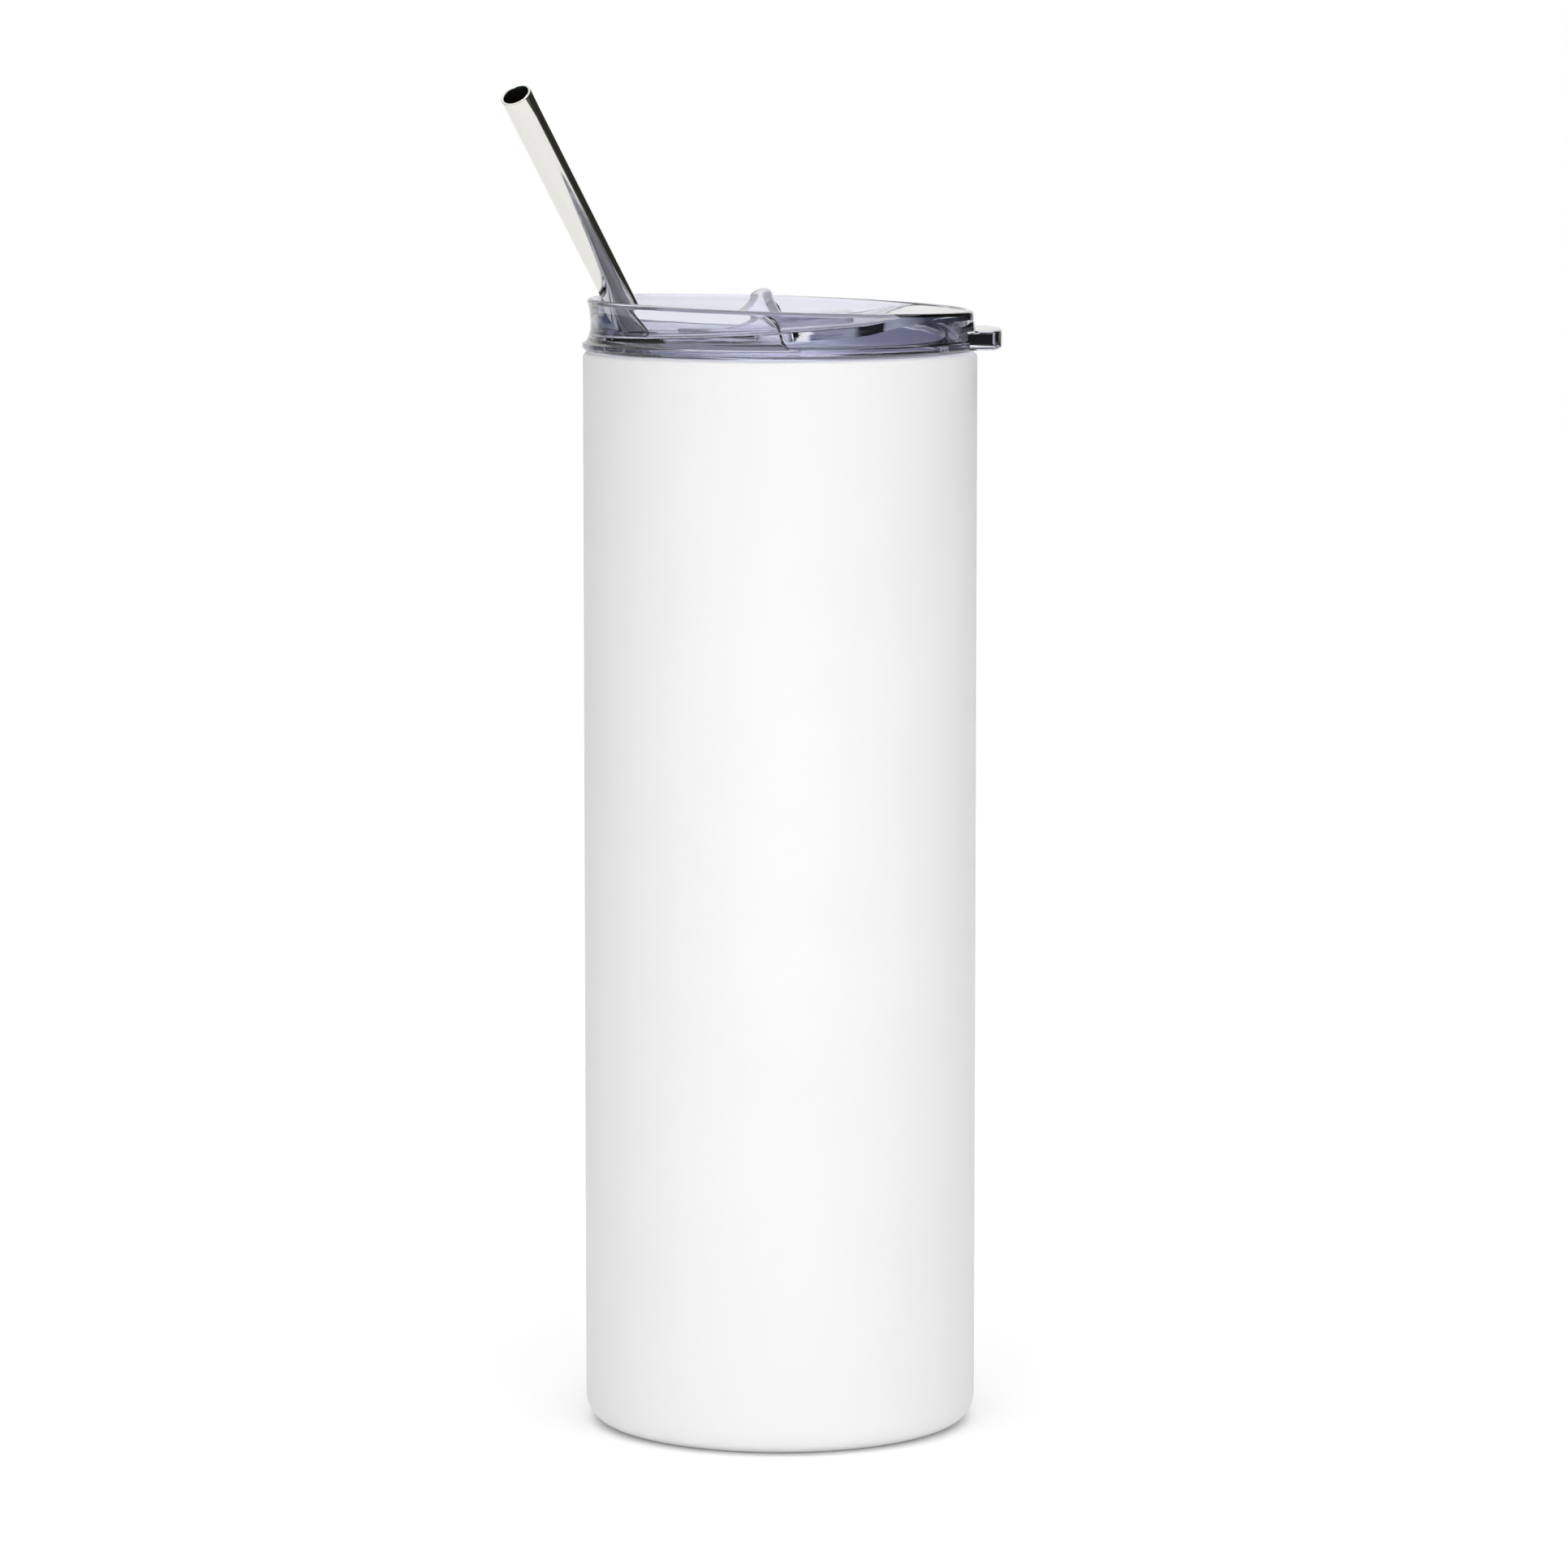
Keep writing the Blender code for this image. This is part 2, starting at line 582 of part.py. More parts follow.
def make_lid(lid_axis):
    """Clear lid: wall, flange and plug in one turned ring, with floor, tab, hole and slot."""
    clear = finish("clear_lid", (0.86, 0.86, 0.90), 0.05, transmission=1.0)
    silicone = finish("clear_silicone", (0.80, 0.80, 0.80), 0.5, transmission=0.5)
    groove_foot = -GROOVE_DROP - GROOVE_HEIGHT
    ring = [
        (RIM_RADIUS, RIM_RISE, RIM_ROUND),
        (WALL_RADIUS, WALL_FOOT, 0.0),
        (FLANGE_RADIUS, WALL_FOOT - FLANGE_STEP, 0.0),
        (FLANGE_RADIUS, 0.0, FLANGE_ROUND),
        (PLUG_RADIUS, 0.0, 0.0),
        (PLUG_RADIUS, -GROOVE_DROP, 0.0),
        (GROOVE_RADIUS, -GROOVE_DROP, 0.0),
        (GROOVE_RADIUS, groove_foot, 0.0),
        (PLUG_RADIUS, groove_foot, 0.0),
        (PLUG_RADIUS, -PLUG_DEPTH, PLUG_ROUND),
        (PLUG_INNER, -PLUG_DEPTH, PLUG_ROUND),
        (PLUG_INNER, WEB, 0.0),
        (WELL_RADIUS, WEB, 0.0),
        (WELL_RADIUS, RIM_RISE, RIM_ROUND),
    ]
    lid = turned("lid_body", ring, lid_axis, clear)
    combine(lid, waist_cutter(lid_axis), "DIFFERENCE")
    bake(lid)
    lean_rim(lid.data)
    combine(lid, make_floor(lid_axis), "UNION")
    combine(lid, make_tab(lid_axis), "UNION")
    hole = rod("straw_hole", STRAW_HOLE_RADIUS, -WEB, RIM_RISE, STRAW_PLACE, lid_axis)
    combine(lid, hole, "DIFFERENCE")
    slot_half = PEG_WIDTH / 2 + SEAT_GAP
    slot_right = PEG_PLACE + PEG_LENGTH / 2 + SEAT_GAP
    slot_left = PEG_PLACE - PEG_LENGTH / 2 - SEAT_GAP - SLIDER_TRAVEL
    slot_corners = [
        (slot_left, -slot_half, PEG_WIDTH / 4),
        (slot_right, -slot_half, 0.0),
        (slot_right, slot_half, 0.0),
        (slot_left, slot_half, PEG_WIDTH / 4),
    ]
    slot = prism("slider_slot", rounded(slot_corners), 0.0, RIM_RISE, lid_axis)
    combine(lid, slot, "DIFFERENCE")
    bake(lid)
    back = GROOVE_RADIUS + SEAT_GAP
    top = -GROOVE_DROP - SEAT_GAP
    foot = groove_foot + SEAT_GAP
    lip_step = (top - foot - 2 * SEAL_LIP_FLAT) / 5
    seal = [
        (back, top, 0.0),
        (PLUG_RADIUS, top, 0.0),
        (SEAL_TIP, top - lip_step, 0.0),
        (SEAL_TIP, top - lip_step - SEAL_LIP_FLAT, 0.0),
        (PLUG_RADIUS, top - 2 * lip_step - SEAL_LIP_FLAT, 0.0),
        (PLUG_RADIUS, foot + 2 * lip_step + SEAL_LIP_FLAT, 0.0),
        (SEAL_TIP, foot + lip_step + SEAL_LIP_FLAT, 0.0),
        (SEAL_TIP, foot + lip_step, 0.0),
        (PLUG_RADIUS, foot, 0.0),
        (back, foot, 0.0),
    ]
    bake(turned("lid_seal", seal, lid_axis, silicone))


def fin_section(station):
    """One slice of the thumb fin: a thin blade with a long front flare, bowed in plan."""
    y = FIN_HALF_LENGTH * station
    middle = FIN_PLACE + FIN_BOW * (1 - station * station)
    height = FIN_HEIGHT * (1 - FIN_END_DROP * station**4)
    base = SEAT_GAP + SLIDER_PLATE
    front = []
    back = []
    for level in FIN_LEVELS:
        z = base + height * level
        left = FIN_THICKNESS / 2 + FIN_FRONT_FLARE * (1 - level) ** 2.2
        right = FIN_THICKNESS / 2 + FIN_BACK_FLARE * (1 - level) ** 1.6
        front.append((middle - left, y, z))
        back.append((middle + right, y, z))
    root = base - SLIDER_PLATE / 2
    crown = base + height
    quarter = FIN_THICKNESS / 4
    foot = [(front[0][0], y, root)]
    top = [(middle - quarter, y, crown), (middle + quarter, y, crown)]
    return foot + front + top + back[::-1] + [(back[0][0], y, root)]


def make_slider(slider_axis):
    """Slider on the sloping floor, held from below by a retainer on its staked peg."""
    clear = finish("clear_slider", (0.84, 0.84, 0.90), 0.08, transmission=1.0)
    clip = finish("clear_retainer", (0.80, 0.80, 0.86), 0.12, transmission=1.0)
    plate_corners = [
        (SLIDER_LEFT, -SLIDER_HALF_WIDTH, SLIDER_NOSE_ROUND),
        (SLIDER_RIGHT, -SLIDER_HALF_WIDTH, SLIDER_TAIL_ROUND),
        (SLIDER_RIGHT, SLIDER_HALF_WIDTH, SLIDER_TAIL_ROUND),
        (SLIDER_LEFT, SLIDER_HALF_WIDTH, SLIDER_NOSE_ROUND),
    ]
    outline = rounded(plate_corners)
    plate_top = SEAT_GAP + SLIDER_PLATE
    slider = prism("slider", outline, SEAT_GAP, plate_top, slider_axis, clear)
    fin = loft("slider_fin", [fin_section(station) for station in FIN_STATIONS], slider_axis)
    combine(slider, fin, "UNION")
    peg_top = SEAT_GAP + SLIDER_PLATE / 2
    peg_foot = HEAD_TOP - HEAD_THICKNESS
    peg_size = (PEG_LENGTH, PEG_WIDTH, peg_top - peg_foot)
    peg = block("slider_peg", peg_size, (PEG_PLACE, 0.0, (peg_top + peg_foot) / 2), slider_axis)
    combine(slider, peg, "UNION")
    head_size = (PEG_LENGTH + 2 * HEAD_LIP, PEG_WIDTH + 2 * HEAD_LIP, HEAD_THICKNESS)
    head_place = (PEG_PLACE, 0.0, HEAD_TOP - HEAD_THICKNESS / 2)
    combine(slider, block("slider_head", head_size, head_place, slider_axis), "UNION")
    bake(slider)
    half_length = RETAINER_LENGTH / 2
    half_width = RETAINER_WIDTH / 2
    clip_corners = [
        (PEG_PLACE - half_length, -half_width, RETAINER_ROUND),
        (PEG_PLACE + half_length, -half_width, RETAINER_ROUND),
        (PEG_PLACE + half_length, half_width, RETAINER_ROUND),
        (PEG_PLACE - half_length, half_width, RETAINER_ROUND),
    ]
    clip_foot = RETAINER_TOP - RETAINER_THICKNESS
    outline = rounded(clip_corners)
    retainer = prism("slider_retainer", outline, clip_foot, RETAINER_TOP, slider_axis, clip)
    eye_size = (PEG_LENGTH + 2 * SEAT_GAP, PEG_WIDTH + 2 * SEAT_GAP, 2 * FLOOR_WALL)
    eye_place = (PEG_PLACE, 0.0, RETAINER_TOP - RETAINER_THICKNESS / 2)
    combine(retainer, block("retainer_eye", eye_size, eye_place, slider_axis), "DIFFERENCE")
    bake(retainer)


def straw_foot():
    """Height at which the straw's foot comes to rest in the liner's rounded corner."""
    inset = abs(STRAW_PLACE) + STRAW_RADIUS - (LINER_INNER - LINER_ROUND)
    rise = LINER_ROUND - math.sqrt(LINER_ROUND**2 - max(inset, 0.0) ** 2)
    facet = LINER_ROUND * (1 - math.cos(ARC_STEP / 2))
    return LINER_FLOOR + rise + facet + SEAT_GAP


def straw_path(extra):
    """Points along the straw's middle from foot to mouth, run on by extra at both ends."""
    out = Vector((math.cos(STRAW_HEADING), math.sin(STRAW_HEADING), 0.0))
    up = Vector((0.0, 0.0, 1.0))
    corner = up * (LID_SEAT + STRAW_BEND_RISE)
    reach = STRAW_BEND_RADIUS * math.tan(STRAW_LEAN / 2)
    centre = corner - up * reach + out * STRAW_BEND_RADIUS
    path = [up * (straw_foot() - extra)]
    for step in range(STRAW_BEND_STEPS + 1):
        angle = STRAW_LEAN * step / STRAW_BEND_STEPS
        path.append(centre + STRAW_BEND_RADIUS * (up * math.sin(angle) - out * math.cos(angle)))
    lean = up * math.cos(STRAW_LEAN) + out * math.sin(STRAW_LEAN)
    path.append(corner + lean * (STRAW_MOUTH_LEG + extra))
    return path


def make_straw(straw_axis):
    """Bent steel straw: a bar along the path with its bore cut out."""
    polished = finish("polished_steel", (0.70, 0.69, 0.66), 0.12, metallic=1.0)
    straw = tube("straw", straw_path(0.0), STRAW_RADIUS, straw_axis, polished)
    bore = tube("straw_bore", straw_path(STRAW_RADIUS), STRAW_RADIUS - STRAW_WALL, straw_axis)
    combine(straw, bore, "DIFFERENCE")
    bake(straw)


clear_scene()
parts = new_collection("tumbler")
cutters = new_collection("tumbler_cutters")
make_cup()
make_base()
lid_place = axis_empty("lid_axis", (0.0, 0.0, LID_SEAT))
make_lid(lid_place)
make_slider(axis_empty("slider_axis", (0.0, 0.0, FLOOR_RISE), lid_place, FLOOR_ANGLE))
make_straw(axis_empty("straw_axis", (STRAW_PLACE, 0.0, -LID_SEAT), lid_place))
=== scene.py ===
# %% [markdown]
# # A tall steel tumbler with a clear lid and a bent straw
# The part is already modelled as plain solids, one for each real piece. This lesson loads those
# solids as a fixed frame and dresses them: finer shapes where light bends or runs along an edge,
# and a finish for every surface. Nothing is moved or resized, so each new piece goes where its
# solid stands.

# %% Load the frame
import math

import bmesh
import bpy
import numpy as np
from mathutils import Matrix, Vector


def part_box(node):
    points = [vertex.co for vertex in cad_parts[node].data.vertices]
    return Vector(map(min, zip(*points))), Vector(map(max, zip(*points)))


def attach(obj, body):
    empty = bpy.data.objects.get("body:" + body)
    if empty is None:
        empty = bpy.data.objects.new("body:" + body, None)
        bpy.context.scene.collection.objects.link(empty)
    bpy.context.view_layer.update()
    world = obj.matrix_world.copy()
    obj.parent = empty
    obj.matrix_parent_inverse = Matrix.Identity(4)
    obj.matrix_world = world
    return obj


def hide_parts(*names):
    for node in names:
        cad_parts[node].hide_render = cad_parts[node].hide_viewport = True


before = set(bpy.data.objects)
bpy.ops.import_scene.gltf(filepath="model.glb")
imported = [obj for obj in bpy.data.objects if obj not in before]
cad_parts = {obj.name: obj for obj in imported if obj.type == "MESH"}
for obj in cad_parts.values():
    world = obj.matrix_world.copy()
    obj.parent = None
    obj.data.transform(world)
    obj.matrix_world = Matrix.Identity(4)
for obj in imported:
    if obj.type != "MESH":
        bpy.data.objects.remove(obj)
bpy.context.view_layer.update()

print("solids:", ", ".join(sorted(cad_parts)))

# %% [markdown]
# ## Sizes
# Everything is in metres. The sizes of the main pieces are read from the boxes of their solids, so
# the cup, the lid and the straw stay together if the solids change. Wall thicknesses and small
# rounds can't be read from a box, so they are named here once.

# %% Sizes read from the solids
MM = 0.001
_, shell_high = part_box("outer_shell")
_, liner_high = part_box("inner_liner")
_, lid_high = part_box("lid_body")
cover_low, cover_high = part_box("base_cover")
straw_low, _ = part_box("straw")

CUP_RADIUS = shell_high.y
CUP_HEIGHT = shell_high.z
LINER_OUTER = liner_high.y
SHEET = 0.5 * MM
GAP = 0.3 * MM
LINER_INNER = LINER_OUTER - SHEET
LID_SEAT = CUP_HEIGHT + GAP
print(f"cup {CUP_RADIUS * 2000:.1f} mm across, {CUP_HEIGHT * 1000:.1f} mm tall")

# %% [markdown]
# ## Four small helpers
# A colour is written as it would be picked on a screen, and Blender wants linear light, so one
# function does the change. Another adds a node and sets or links whatever is named. The third
# gives a material its shader, with the object's own coordinates ready for the patterns. The last
# lays patterns on it: one runs its colour, one its gloss, and one may lift its skin.

# %% Colour, node and finish helpers
def srgb(code):
    """Linear RGBA of a hex colour."""
    parts = [int(code[place:place + 2], 16) / 255 for place in (1, 3, 5)]
    linear = [p / 12.92 if p <= 0.04045 else ((p + 0.055) / 1.055) ** 2.4 for p in parts]
    return (*linear, 1.0)


def add(tree, kind, settings):
    """Add a node. A key is a property, a socket's name or its number; a socket as value is linked."""
    node = tree.nodes.new(kind)
    for key, value in settings.items():
        if isinstance(key, str) and key not in node.inputs:
            setattr(node, key, value)
    for key, value in settings.items():
        if isinstance(key, str) and key not in node.inputs:
            continue
        if isinstance(value, bpy.types.NodeSocket):
            tree.links.new(value, node.inputs[key])
        else:
            node.inputs[key].default_value = value
    return node


def new_finish(name, settings):
    """Material with a Principled shader, and the coordinates of the object it is on."""
    material = bpy.data.materials.new(name)
    material.use_nodes = True
    tree = material.node_tree
    shader = tree.nodes["Principled BSDF"]
    for key, value in settings.items():
        shader.inputs[key].default_value = value
    place = add(tree, "ShaderNodeTexCoord", {}).outputs["Object"]
    return material, tree, shader, place


def pattern(tree, shader, tone, gloss, relief=None):
    """Run a noise between two colours and two roughnesses, and lift the skin by (strength, depth)."""
    noise, dark, light = tone
    colour = add(tree, "ShaderNodeMix", {
        "data_type": "RGBA", 0: noise.outputs["Fac"], 6: srgb(dark), 7: srgb(light),
    })
    tree.links.new(colour.outputs[2], shader.inputs["Base Color"])
    noise, low, high = gloss
    rough = add(tree, "ShaderNodeMapRange", {"Value": noise.outputs["Fac"], "To Min": low, "To Max": high})
    tree.links.new(rough.outputs[0], shader.inputs["Roughness"])
    if relief:
        noise, strength, depth = relief
        bump = add(tree, "ShaderNodeBump", {
            "Height": noise.outputs["Fac"], "Strength": strength, "Distance": depth,
        })
        tree.links.new(bump.outputs[0], shader.inputs["Normal"])


print("middle grey is", round(srgb("#808080")[0], 3), "in linear light")

# %% [markdown]
# ## Finish of the cup: white polymer coat on steel
# The cup is sprayed with a white polymer coat and baked. The coat is matt: it spreads a highlight so
# wide that only a soft gleam is left, and its skin has a faint orange peel about a millimetre from
# crest to crest. A soft noise drives the bump, and a larger one lets the gloss wander a little, as it
# does on a sprayed can.

# %% White coat
PEEL = 0.9 * MM
PEEL_DEPTH = 0.05 * MM
CLOUD = 26 * MM
white_coat, tree, shader, place = new_finish("baked_white_polymer_coat", {"IOR": 1.5})
peel = add(tree, "ShaderNodeTexNoise", {"Vector": place, "Scale": 1 / PEEL, "Detail": 2.0})
cloud = add(tree, "ShaderNodeTexNoise", {"Vector": place, "Scale": 1 / CLOUD, "Detail": 3.0})
pattern(tree, shader, (cloud, "#F3F3F3", "#F8F8F8"), (cloud, 0.55, 0.63), (peel, 0.06, PEEL_DEPTH))
print("finish:", white_coat.name)

# %% [markdown]
# ## Finishes of bare steel
# Three kinds of stainless steel show. The liner was spun, then electropolished: a satin, a little
# blue, with faint rings round the axis. The cover under the base was turned, so its rings are
# stronger. Both are the same noise squeezed along one direction: along the height for the liner, and
# along the distance from the axis for the cover.

# %% Spun steel of the liner, turned steel of the cover
RING = 0.35 * MM
RING_RUN = 125 * MM
RING_DEPTH = 0.02 * MM
spun_steel, tree, shader, place = new_finish("electropolished_spun_steel", {"Metallic": 1.0})
squeeze = add(tree, "ShaderNodeMapping", {
    "Vector": place, "Scale": (1 / RING_RUN, 1 / RING_RUN, 1 / RING),
})
rings = add(tree, "ShaderNodeTexNoise", {"Vector": squeeze.outputs[0], "Scale": 1.0, "Detail": 3.0})
pattern(tree, shader, (rings, "#D9DBE4", "#E9EBF3"), (rings, 0.42, 0.56), (rings, 0.10, RING_DEPTH))

TURN = 0.25 * MM
TURN_DEPTH = 0.03 * MM
turned_steel, tree, shader, place = new_finish("lathe_turned_steel", {"Metallic": 1.0})
flat = add(tree, "ShaderNodeVectorMath", {"operation": "MULTIPLY", 0: place, 1: (1.0, 1.0, 0.0)})
far = add(tree, "ShaderNodeVectorMath", {"operation": "LENGTH", 0: flat.outputs[0]})
rings = add(tree, "ShaderNodeTexNoise", {
    "noise_dimensions": "1D", "W": far.outputs["Value"], "Scale": 1 / TURN, "Detail": 2.0,
})
pattern(tree, shader, (rings, "#B9B7B2", "#D2D0CB"), (rings, 0.24, 0.38), (rings, 0.25, TURN_DEPTH))
print("finishes:", spun_steel.name, turned_steel.name)

# %% [markdown]
# The straw was drawn through a die and buffed. Buffing leaves it almost a mirror, with hair lines
# along its length. It is bent, so the lines can't follow an axis of the object: the straw carries
# its own unbent coordinates, ring and run, and the noise is squeezed round the ring.

# %% Drawn and buffed steel of the straw
HAIR = 0.12 * MM
HAIR_LENGTH = 20 * MM
HAIR_DEPTH = 0.01 * MM
drawn_steel, tree, shader, _ = new_finish("drawn_buffed_steel", {"Metallic": 1.0})
ring = add(tree, "ShaderNodeAttribute", {"attribute_name": "ring"})
run = add(tree, "ShaderNodeAttribute", {"attribute_name": "run"})
lift = add(tree, "ShaderNodeCombineXYZ", {"Z": run.outputs["Fac"]})
unbent = add(tree, "ShaderNodeVectorMath", {0: ring.outputs["Vector"], 1: lift.outputs[0]})
stretch = add(tree, "ShaderNodeMapping", {
    "Vector": unbent.outputs[0], "Scale": (1 / HAIR, 1 / HAIR, 1 / HAIR_LENGTH),
})
hairs = add(tree, "ShaderNodeTexNoise", {"Vector": stretch.outputs[0], "Scale": 1.0, "Detail": 3.0})
pattern(tree, shader, (hairs, "#DCDBD5", "#E4E3DE"), (hairs, 0.05, 0.11), (hairs, 0.04, HAIR_DEPTH))
print("finish:", drawn_steel.name)

# %% [markdown]
# ## Finishes of clear plastic
# Lid, slider and clip are moulded from a clear styrene plastic with a faint lilac tint, which bends
# light more than glass does. Plastic flows into a mould in waves, and the skin keeps them: very low
# ripples some millimetres long that make the lines behind it wander. A noise as bump gives them.
# The slider rubs in its slot and is touched each day, so it is hazier than the lid.

# %% Clear moulded plastics
SCUFF = 1.5 * MM
RIPPLE_DEPTH = 0.25 * MM


def clear_plastic(name, tint, rough, ripple, clear):
    """Clear moulded plastic with the low ripples that the mould's flow leaves."""
    material, tree, shader, place = new_finish(name, {"IOR": 1.57, "Transmission Weight": clear})
    flow = add(tree, "ShaderNodeTexNoise", {"Vector": place, "Scale": 1 / ripple, "Detail": 1.0})
    scuff = add(tree, "ShaderNodeTexNoise", {"Vector": place, "Scale": 1 / SCUFF, "Detail": 4.0})
    pattern(tree, shader, (flow, *tint), (scuff, *rough), (flow, 0.12, RIPPLE_DEPTH))
    return material


clear_lid = clear_plastic("moulded_clear_styrene", ("#E4E5F1", "#EBECF5"), (0.0, 0.03), 5 * MM, 1.0)
clear_slider = clear_plastic(
    "moulded_clear_styrene_slider", ("#E4E4F0", "#EEEEF8"), (0.16, 0.30), 4 * MM, 0.9,
)
print("finishes:", clear_lid.name, clear_slider.name)

# %% [markdown]
# The seal is clear silicone rubber: cloudy, soft to the eye, with a dull skin.

# %% Silicone
HAZE = 3 * MM
silicone, tree, shader, place = new_finish("moulded_clear_silicone", {
    "IOR": 1.41, "Transmission Weight": 0.75,
})
haze = add(tree, "ShaderNodeTexNoise", {"Vector": place, "Scale": 1 / HAZE, "Detail": 2.0})
pattern(tree, shader, (haze, "#D8DADC", "#E6E8EA"), (haze, 0.38, 0.52))
print("finish:", silicone.name)

# %% [markdown]
# Four small pieces sit in the vacuum between the walls, where nobody sees them. Their solids stay as
# they are and only get an honest finish: mill steel, dark solder glass and grey getter powder.

# %% Finishes of the hidden pieces
def hidden_finish(node, name, colours, rough, metallic, grain):
    """Give a solid that stays a mottled finish with a grain of a real size."""
    material, tree, shader, place = new_finish(name, {"Metallic": metallic})
    speck = add(tree, "ShaderNodeTexNoise", {"Vector": place, "Scale": 1 / grain, "Detail": 3.0})
    pattern(tree, shader, (speck, *colours), (speck, *rough))
    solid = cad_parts[node]
    solid.data.materials.clear()
    solid.data.materials.append(material)
    print("finish:", name)


hidden_finish("vacuum_plate", "mill_steel_plate", ("#A9A7A3", "#C2C0BB"), (0.35, 0.5), 1.0, 0.8 * MM)
hidden_finish("getter_strap", "mill_steel_strap", ("#A4A29E", "#BDBBB6"), (0.35, 0.5), 1.0, 0.6 * MM)
hidden_finish("solder_bead", "dark_solder_glass", ("#2E2925", "#423A34"), (0.12, 0.25), 0.0, 0.5 * MM)
hidden_finish("getter_pellet", "pressed_getter_powder", ("#4C4D50", "#5E5F62"), (0.75, 0.9), 0.0, 0.2 * MM)

# %% [markdown]
# ## Profiles
# A turned piece starts as a drawing of one half of its section. The drawing is a list of corners,
# each with a radius and a height and, where the sheet is bent, a rounding. This helper swaps every
# rounded corner for a fine arc.

# %% Round the corners of a drawing
ARC_STEP = math.radians(9)


def rounded(corners, closed=True):
    """Points along (u, v, rounding) corners, with an arc at each corner that has a rounding."""
    points = []
    last = len(corners) - 1
    for index, (u, v, radius) in enumerate(corners):
        corner = Vector((u, v))
        if radius == 0.0 or (not closed and index in (0, last)):
            points.append(corner)
            continue
        back = (Vector(corners[index - 1][:2]) - corner).normalized()
        ahead = (Vector(corners[(index + 1) % len(corners)][:2]) - corner).normalized()
        half = back.angle(ahead) / 2
        centre = corner + (back + ahead).normalized() * (radius / math.sin(half))
        first = corner + back * (radius / math.tan(half)) - centre
        final = corner + ahead * (radius / math.tan(half)) - centre
        start = math.atan2(first.y, first.x)
        turn = math.atan2(final.y, final.x) - start
        turn = (turn + math.pi) % (2 * math.pi) - math.pi
        steps = max(1, math.ceil(abs(turn) / ARC_STEP))
        for step in range(steps + 1):
            angle = start + turn * step / steps
            points.append(centre + radius * Vector((math.cos(angle), math.sin(angle))))
    return points


print("steps in a quarter round:", round(math.pi / 2 / ARC_STEP))

# %% [markdown]
# ## A node tree that turns a profile
# A lathe turns a drawing round an axis. Geometry Nodes can do the same: a circle is the path, the
# drawing is the profile, and Curve to Mesh carries one along the other. Merge by Distance closes the
# pole where a drawing ends on the axis. The tree takes the circle's radius, the number of steps and
# the finish as inputs, so one tree serves the cup's shell, its liner, the base cover and the seal.
# The straw's tree, further down, has the same three inputs, so both share their start and their end.

# %% Build the turning tree
WELD = 0.001 * MM
TREE_INPUTS = {"Radius": "NodeSocketFloat", "Steps": "NodeSocketInt", "Finish": "NodeSocketMaterial"}


def new_tree(name):
    """Node tree with its inputs: geometry, a radius, a number of steps and a finish."""
    tree = bpy.data.node_groups.new(name, "GeometryNodeTree")
    tree.interface.new_socket("Geometry", in_out="OUTPUT", socket_type="NodeSocketGeometry")
    tree.interface.new_socket("Geometry", in_out="INPUT", socket_type="NodeSocketGeometry")
    for label, kind in TREE_INPUTS.items():
        tree.interface.new_socket(label, in_out="INPUT", socket_type=kind)
    return tree, add(tree, "NodeGroupInput", {}).outputs


def end_tree(tree, mesh, finish):
    """End a tree with smooth faces, real geometry and the finish."""
    smooth = add(tree, "GeometryNodeSetShadeSmooth", {"Geometry": mesh})
    real = add(tree, "GeometryNodeRealizeInstances", {"Geometry": smooth.outputs["Geometry"]})
    painted = add(tree, "GeometryNodeSetMaterial", {
        "Geometry": real.outputs["Geometry"], "Material": finish,
    })
    add(tree, "NodeGroupOutput", {"Geometry": painted.outputs["Geometry"]})
    print("tree:", tree.name, len(tree.nodes), "nodes")


turning, given = new_tree("turned_from_profile")
circle = add(turning, "GeometryNodeCurvePrimitiveCircle", {
    "Resolution": given["Steps"], "Radius": given["Radius"],
})
drawing = add(turning, "GeometryNodeMeshToCurve", {"Mesh": given["Geometry"]})
swept = add(turning, "GeometryNodeCurveToMesh", {
    "Curve": circle.outputs["Curve"], "Profile Curve": drawing.outputs["Curve"],
})
welded = add(turning, "GeometryNodeMergeByDistance", {
    "Geometry": swept.outputs["Mesh"], "Distance": WELD,
})
end_tree(turning, welded.outputs["Geometry"], given["Finish"])

# %% [markdown]
# Pieces come from lists of points or from bmesh shapes, so a helper for each puts them into the scene.
# Others put a tree on an object, swap its mesh for the one its modifiers make, turn the faces outwards,
# and keep sharp corners crisp.

# %% Into the scene, and from modifiers to a plain mesh
SHARP = math.radians(32)


def place_mesh(name, mesh, finish=None):
    """Put a mesh into the scene at the origin."""
    if finish:
        mesh.materials.append(finish)
    item = bpy.data.objects.new(name, mesh)
    bpy.context.scene.collection.objects.link(item)
    return item


def from_points(name, points, edges, faces, finish=None):
    """Object from lists of points, edges and faces."""
    mesh = bpy.data.meshes.new(name)
    mesh.from_pydata(points, edges, faces)
    return place_mesh(name, mesh, finish)


def from_shape(name, shape, finish):
    """Object from a bmesh shape, which is then let go."""
    mesh = bpy.data.meshes.new(name)
    shape.to_mesh(mesh)
    shape.free()
    return place_mesh(name, mesh, finish)


def run_tree(item, tree, radius, steps, finish):
    """Put a node tree on an object, with its inputs set by their identifiers."""
    modifier = item.modifiers.new(tree.name, "NODES")
    modifier.node_group = tree
    values = {"Radius": radius, "Steps": steps, "Finish": finish}
    for socket in tree.interface.items_tree:
        if socket.name in values:
            modifier[socket.identifier] = values[socket.name]


def bake(item):
    """Swap an object's mesh for the one its modifiers make."""
    bpy.context.view_layer.update()
    graph = bpy.context.evaluated_depsgraph_get()
    mesh = bpy.data.meshes.new_from_object(item.evaluated_get(graph))
    item.modifiers.clear()
    item.data = mesh
    return mesh


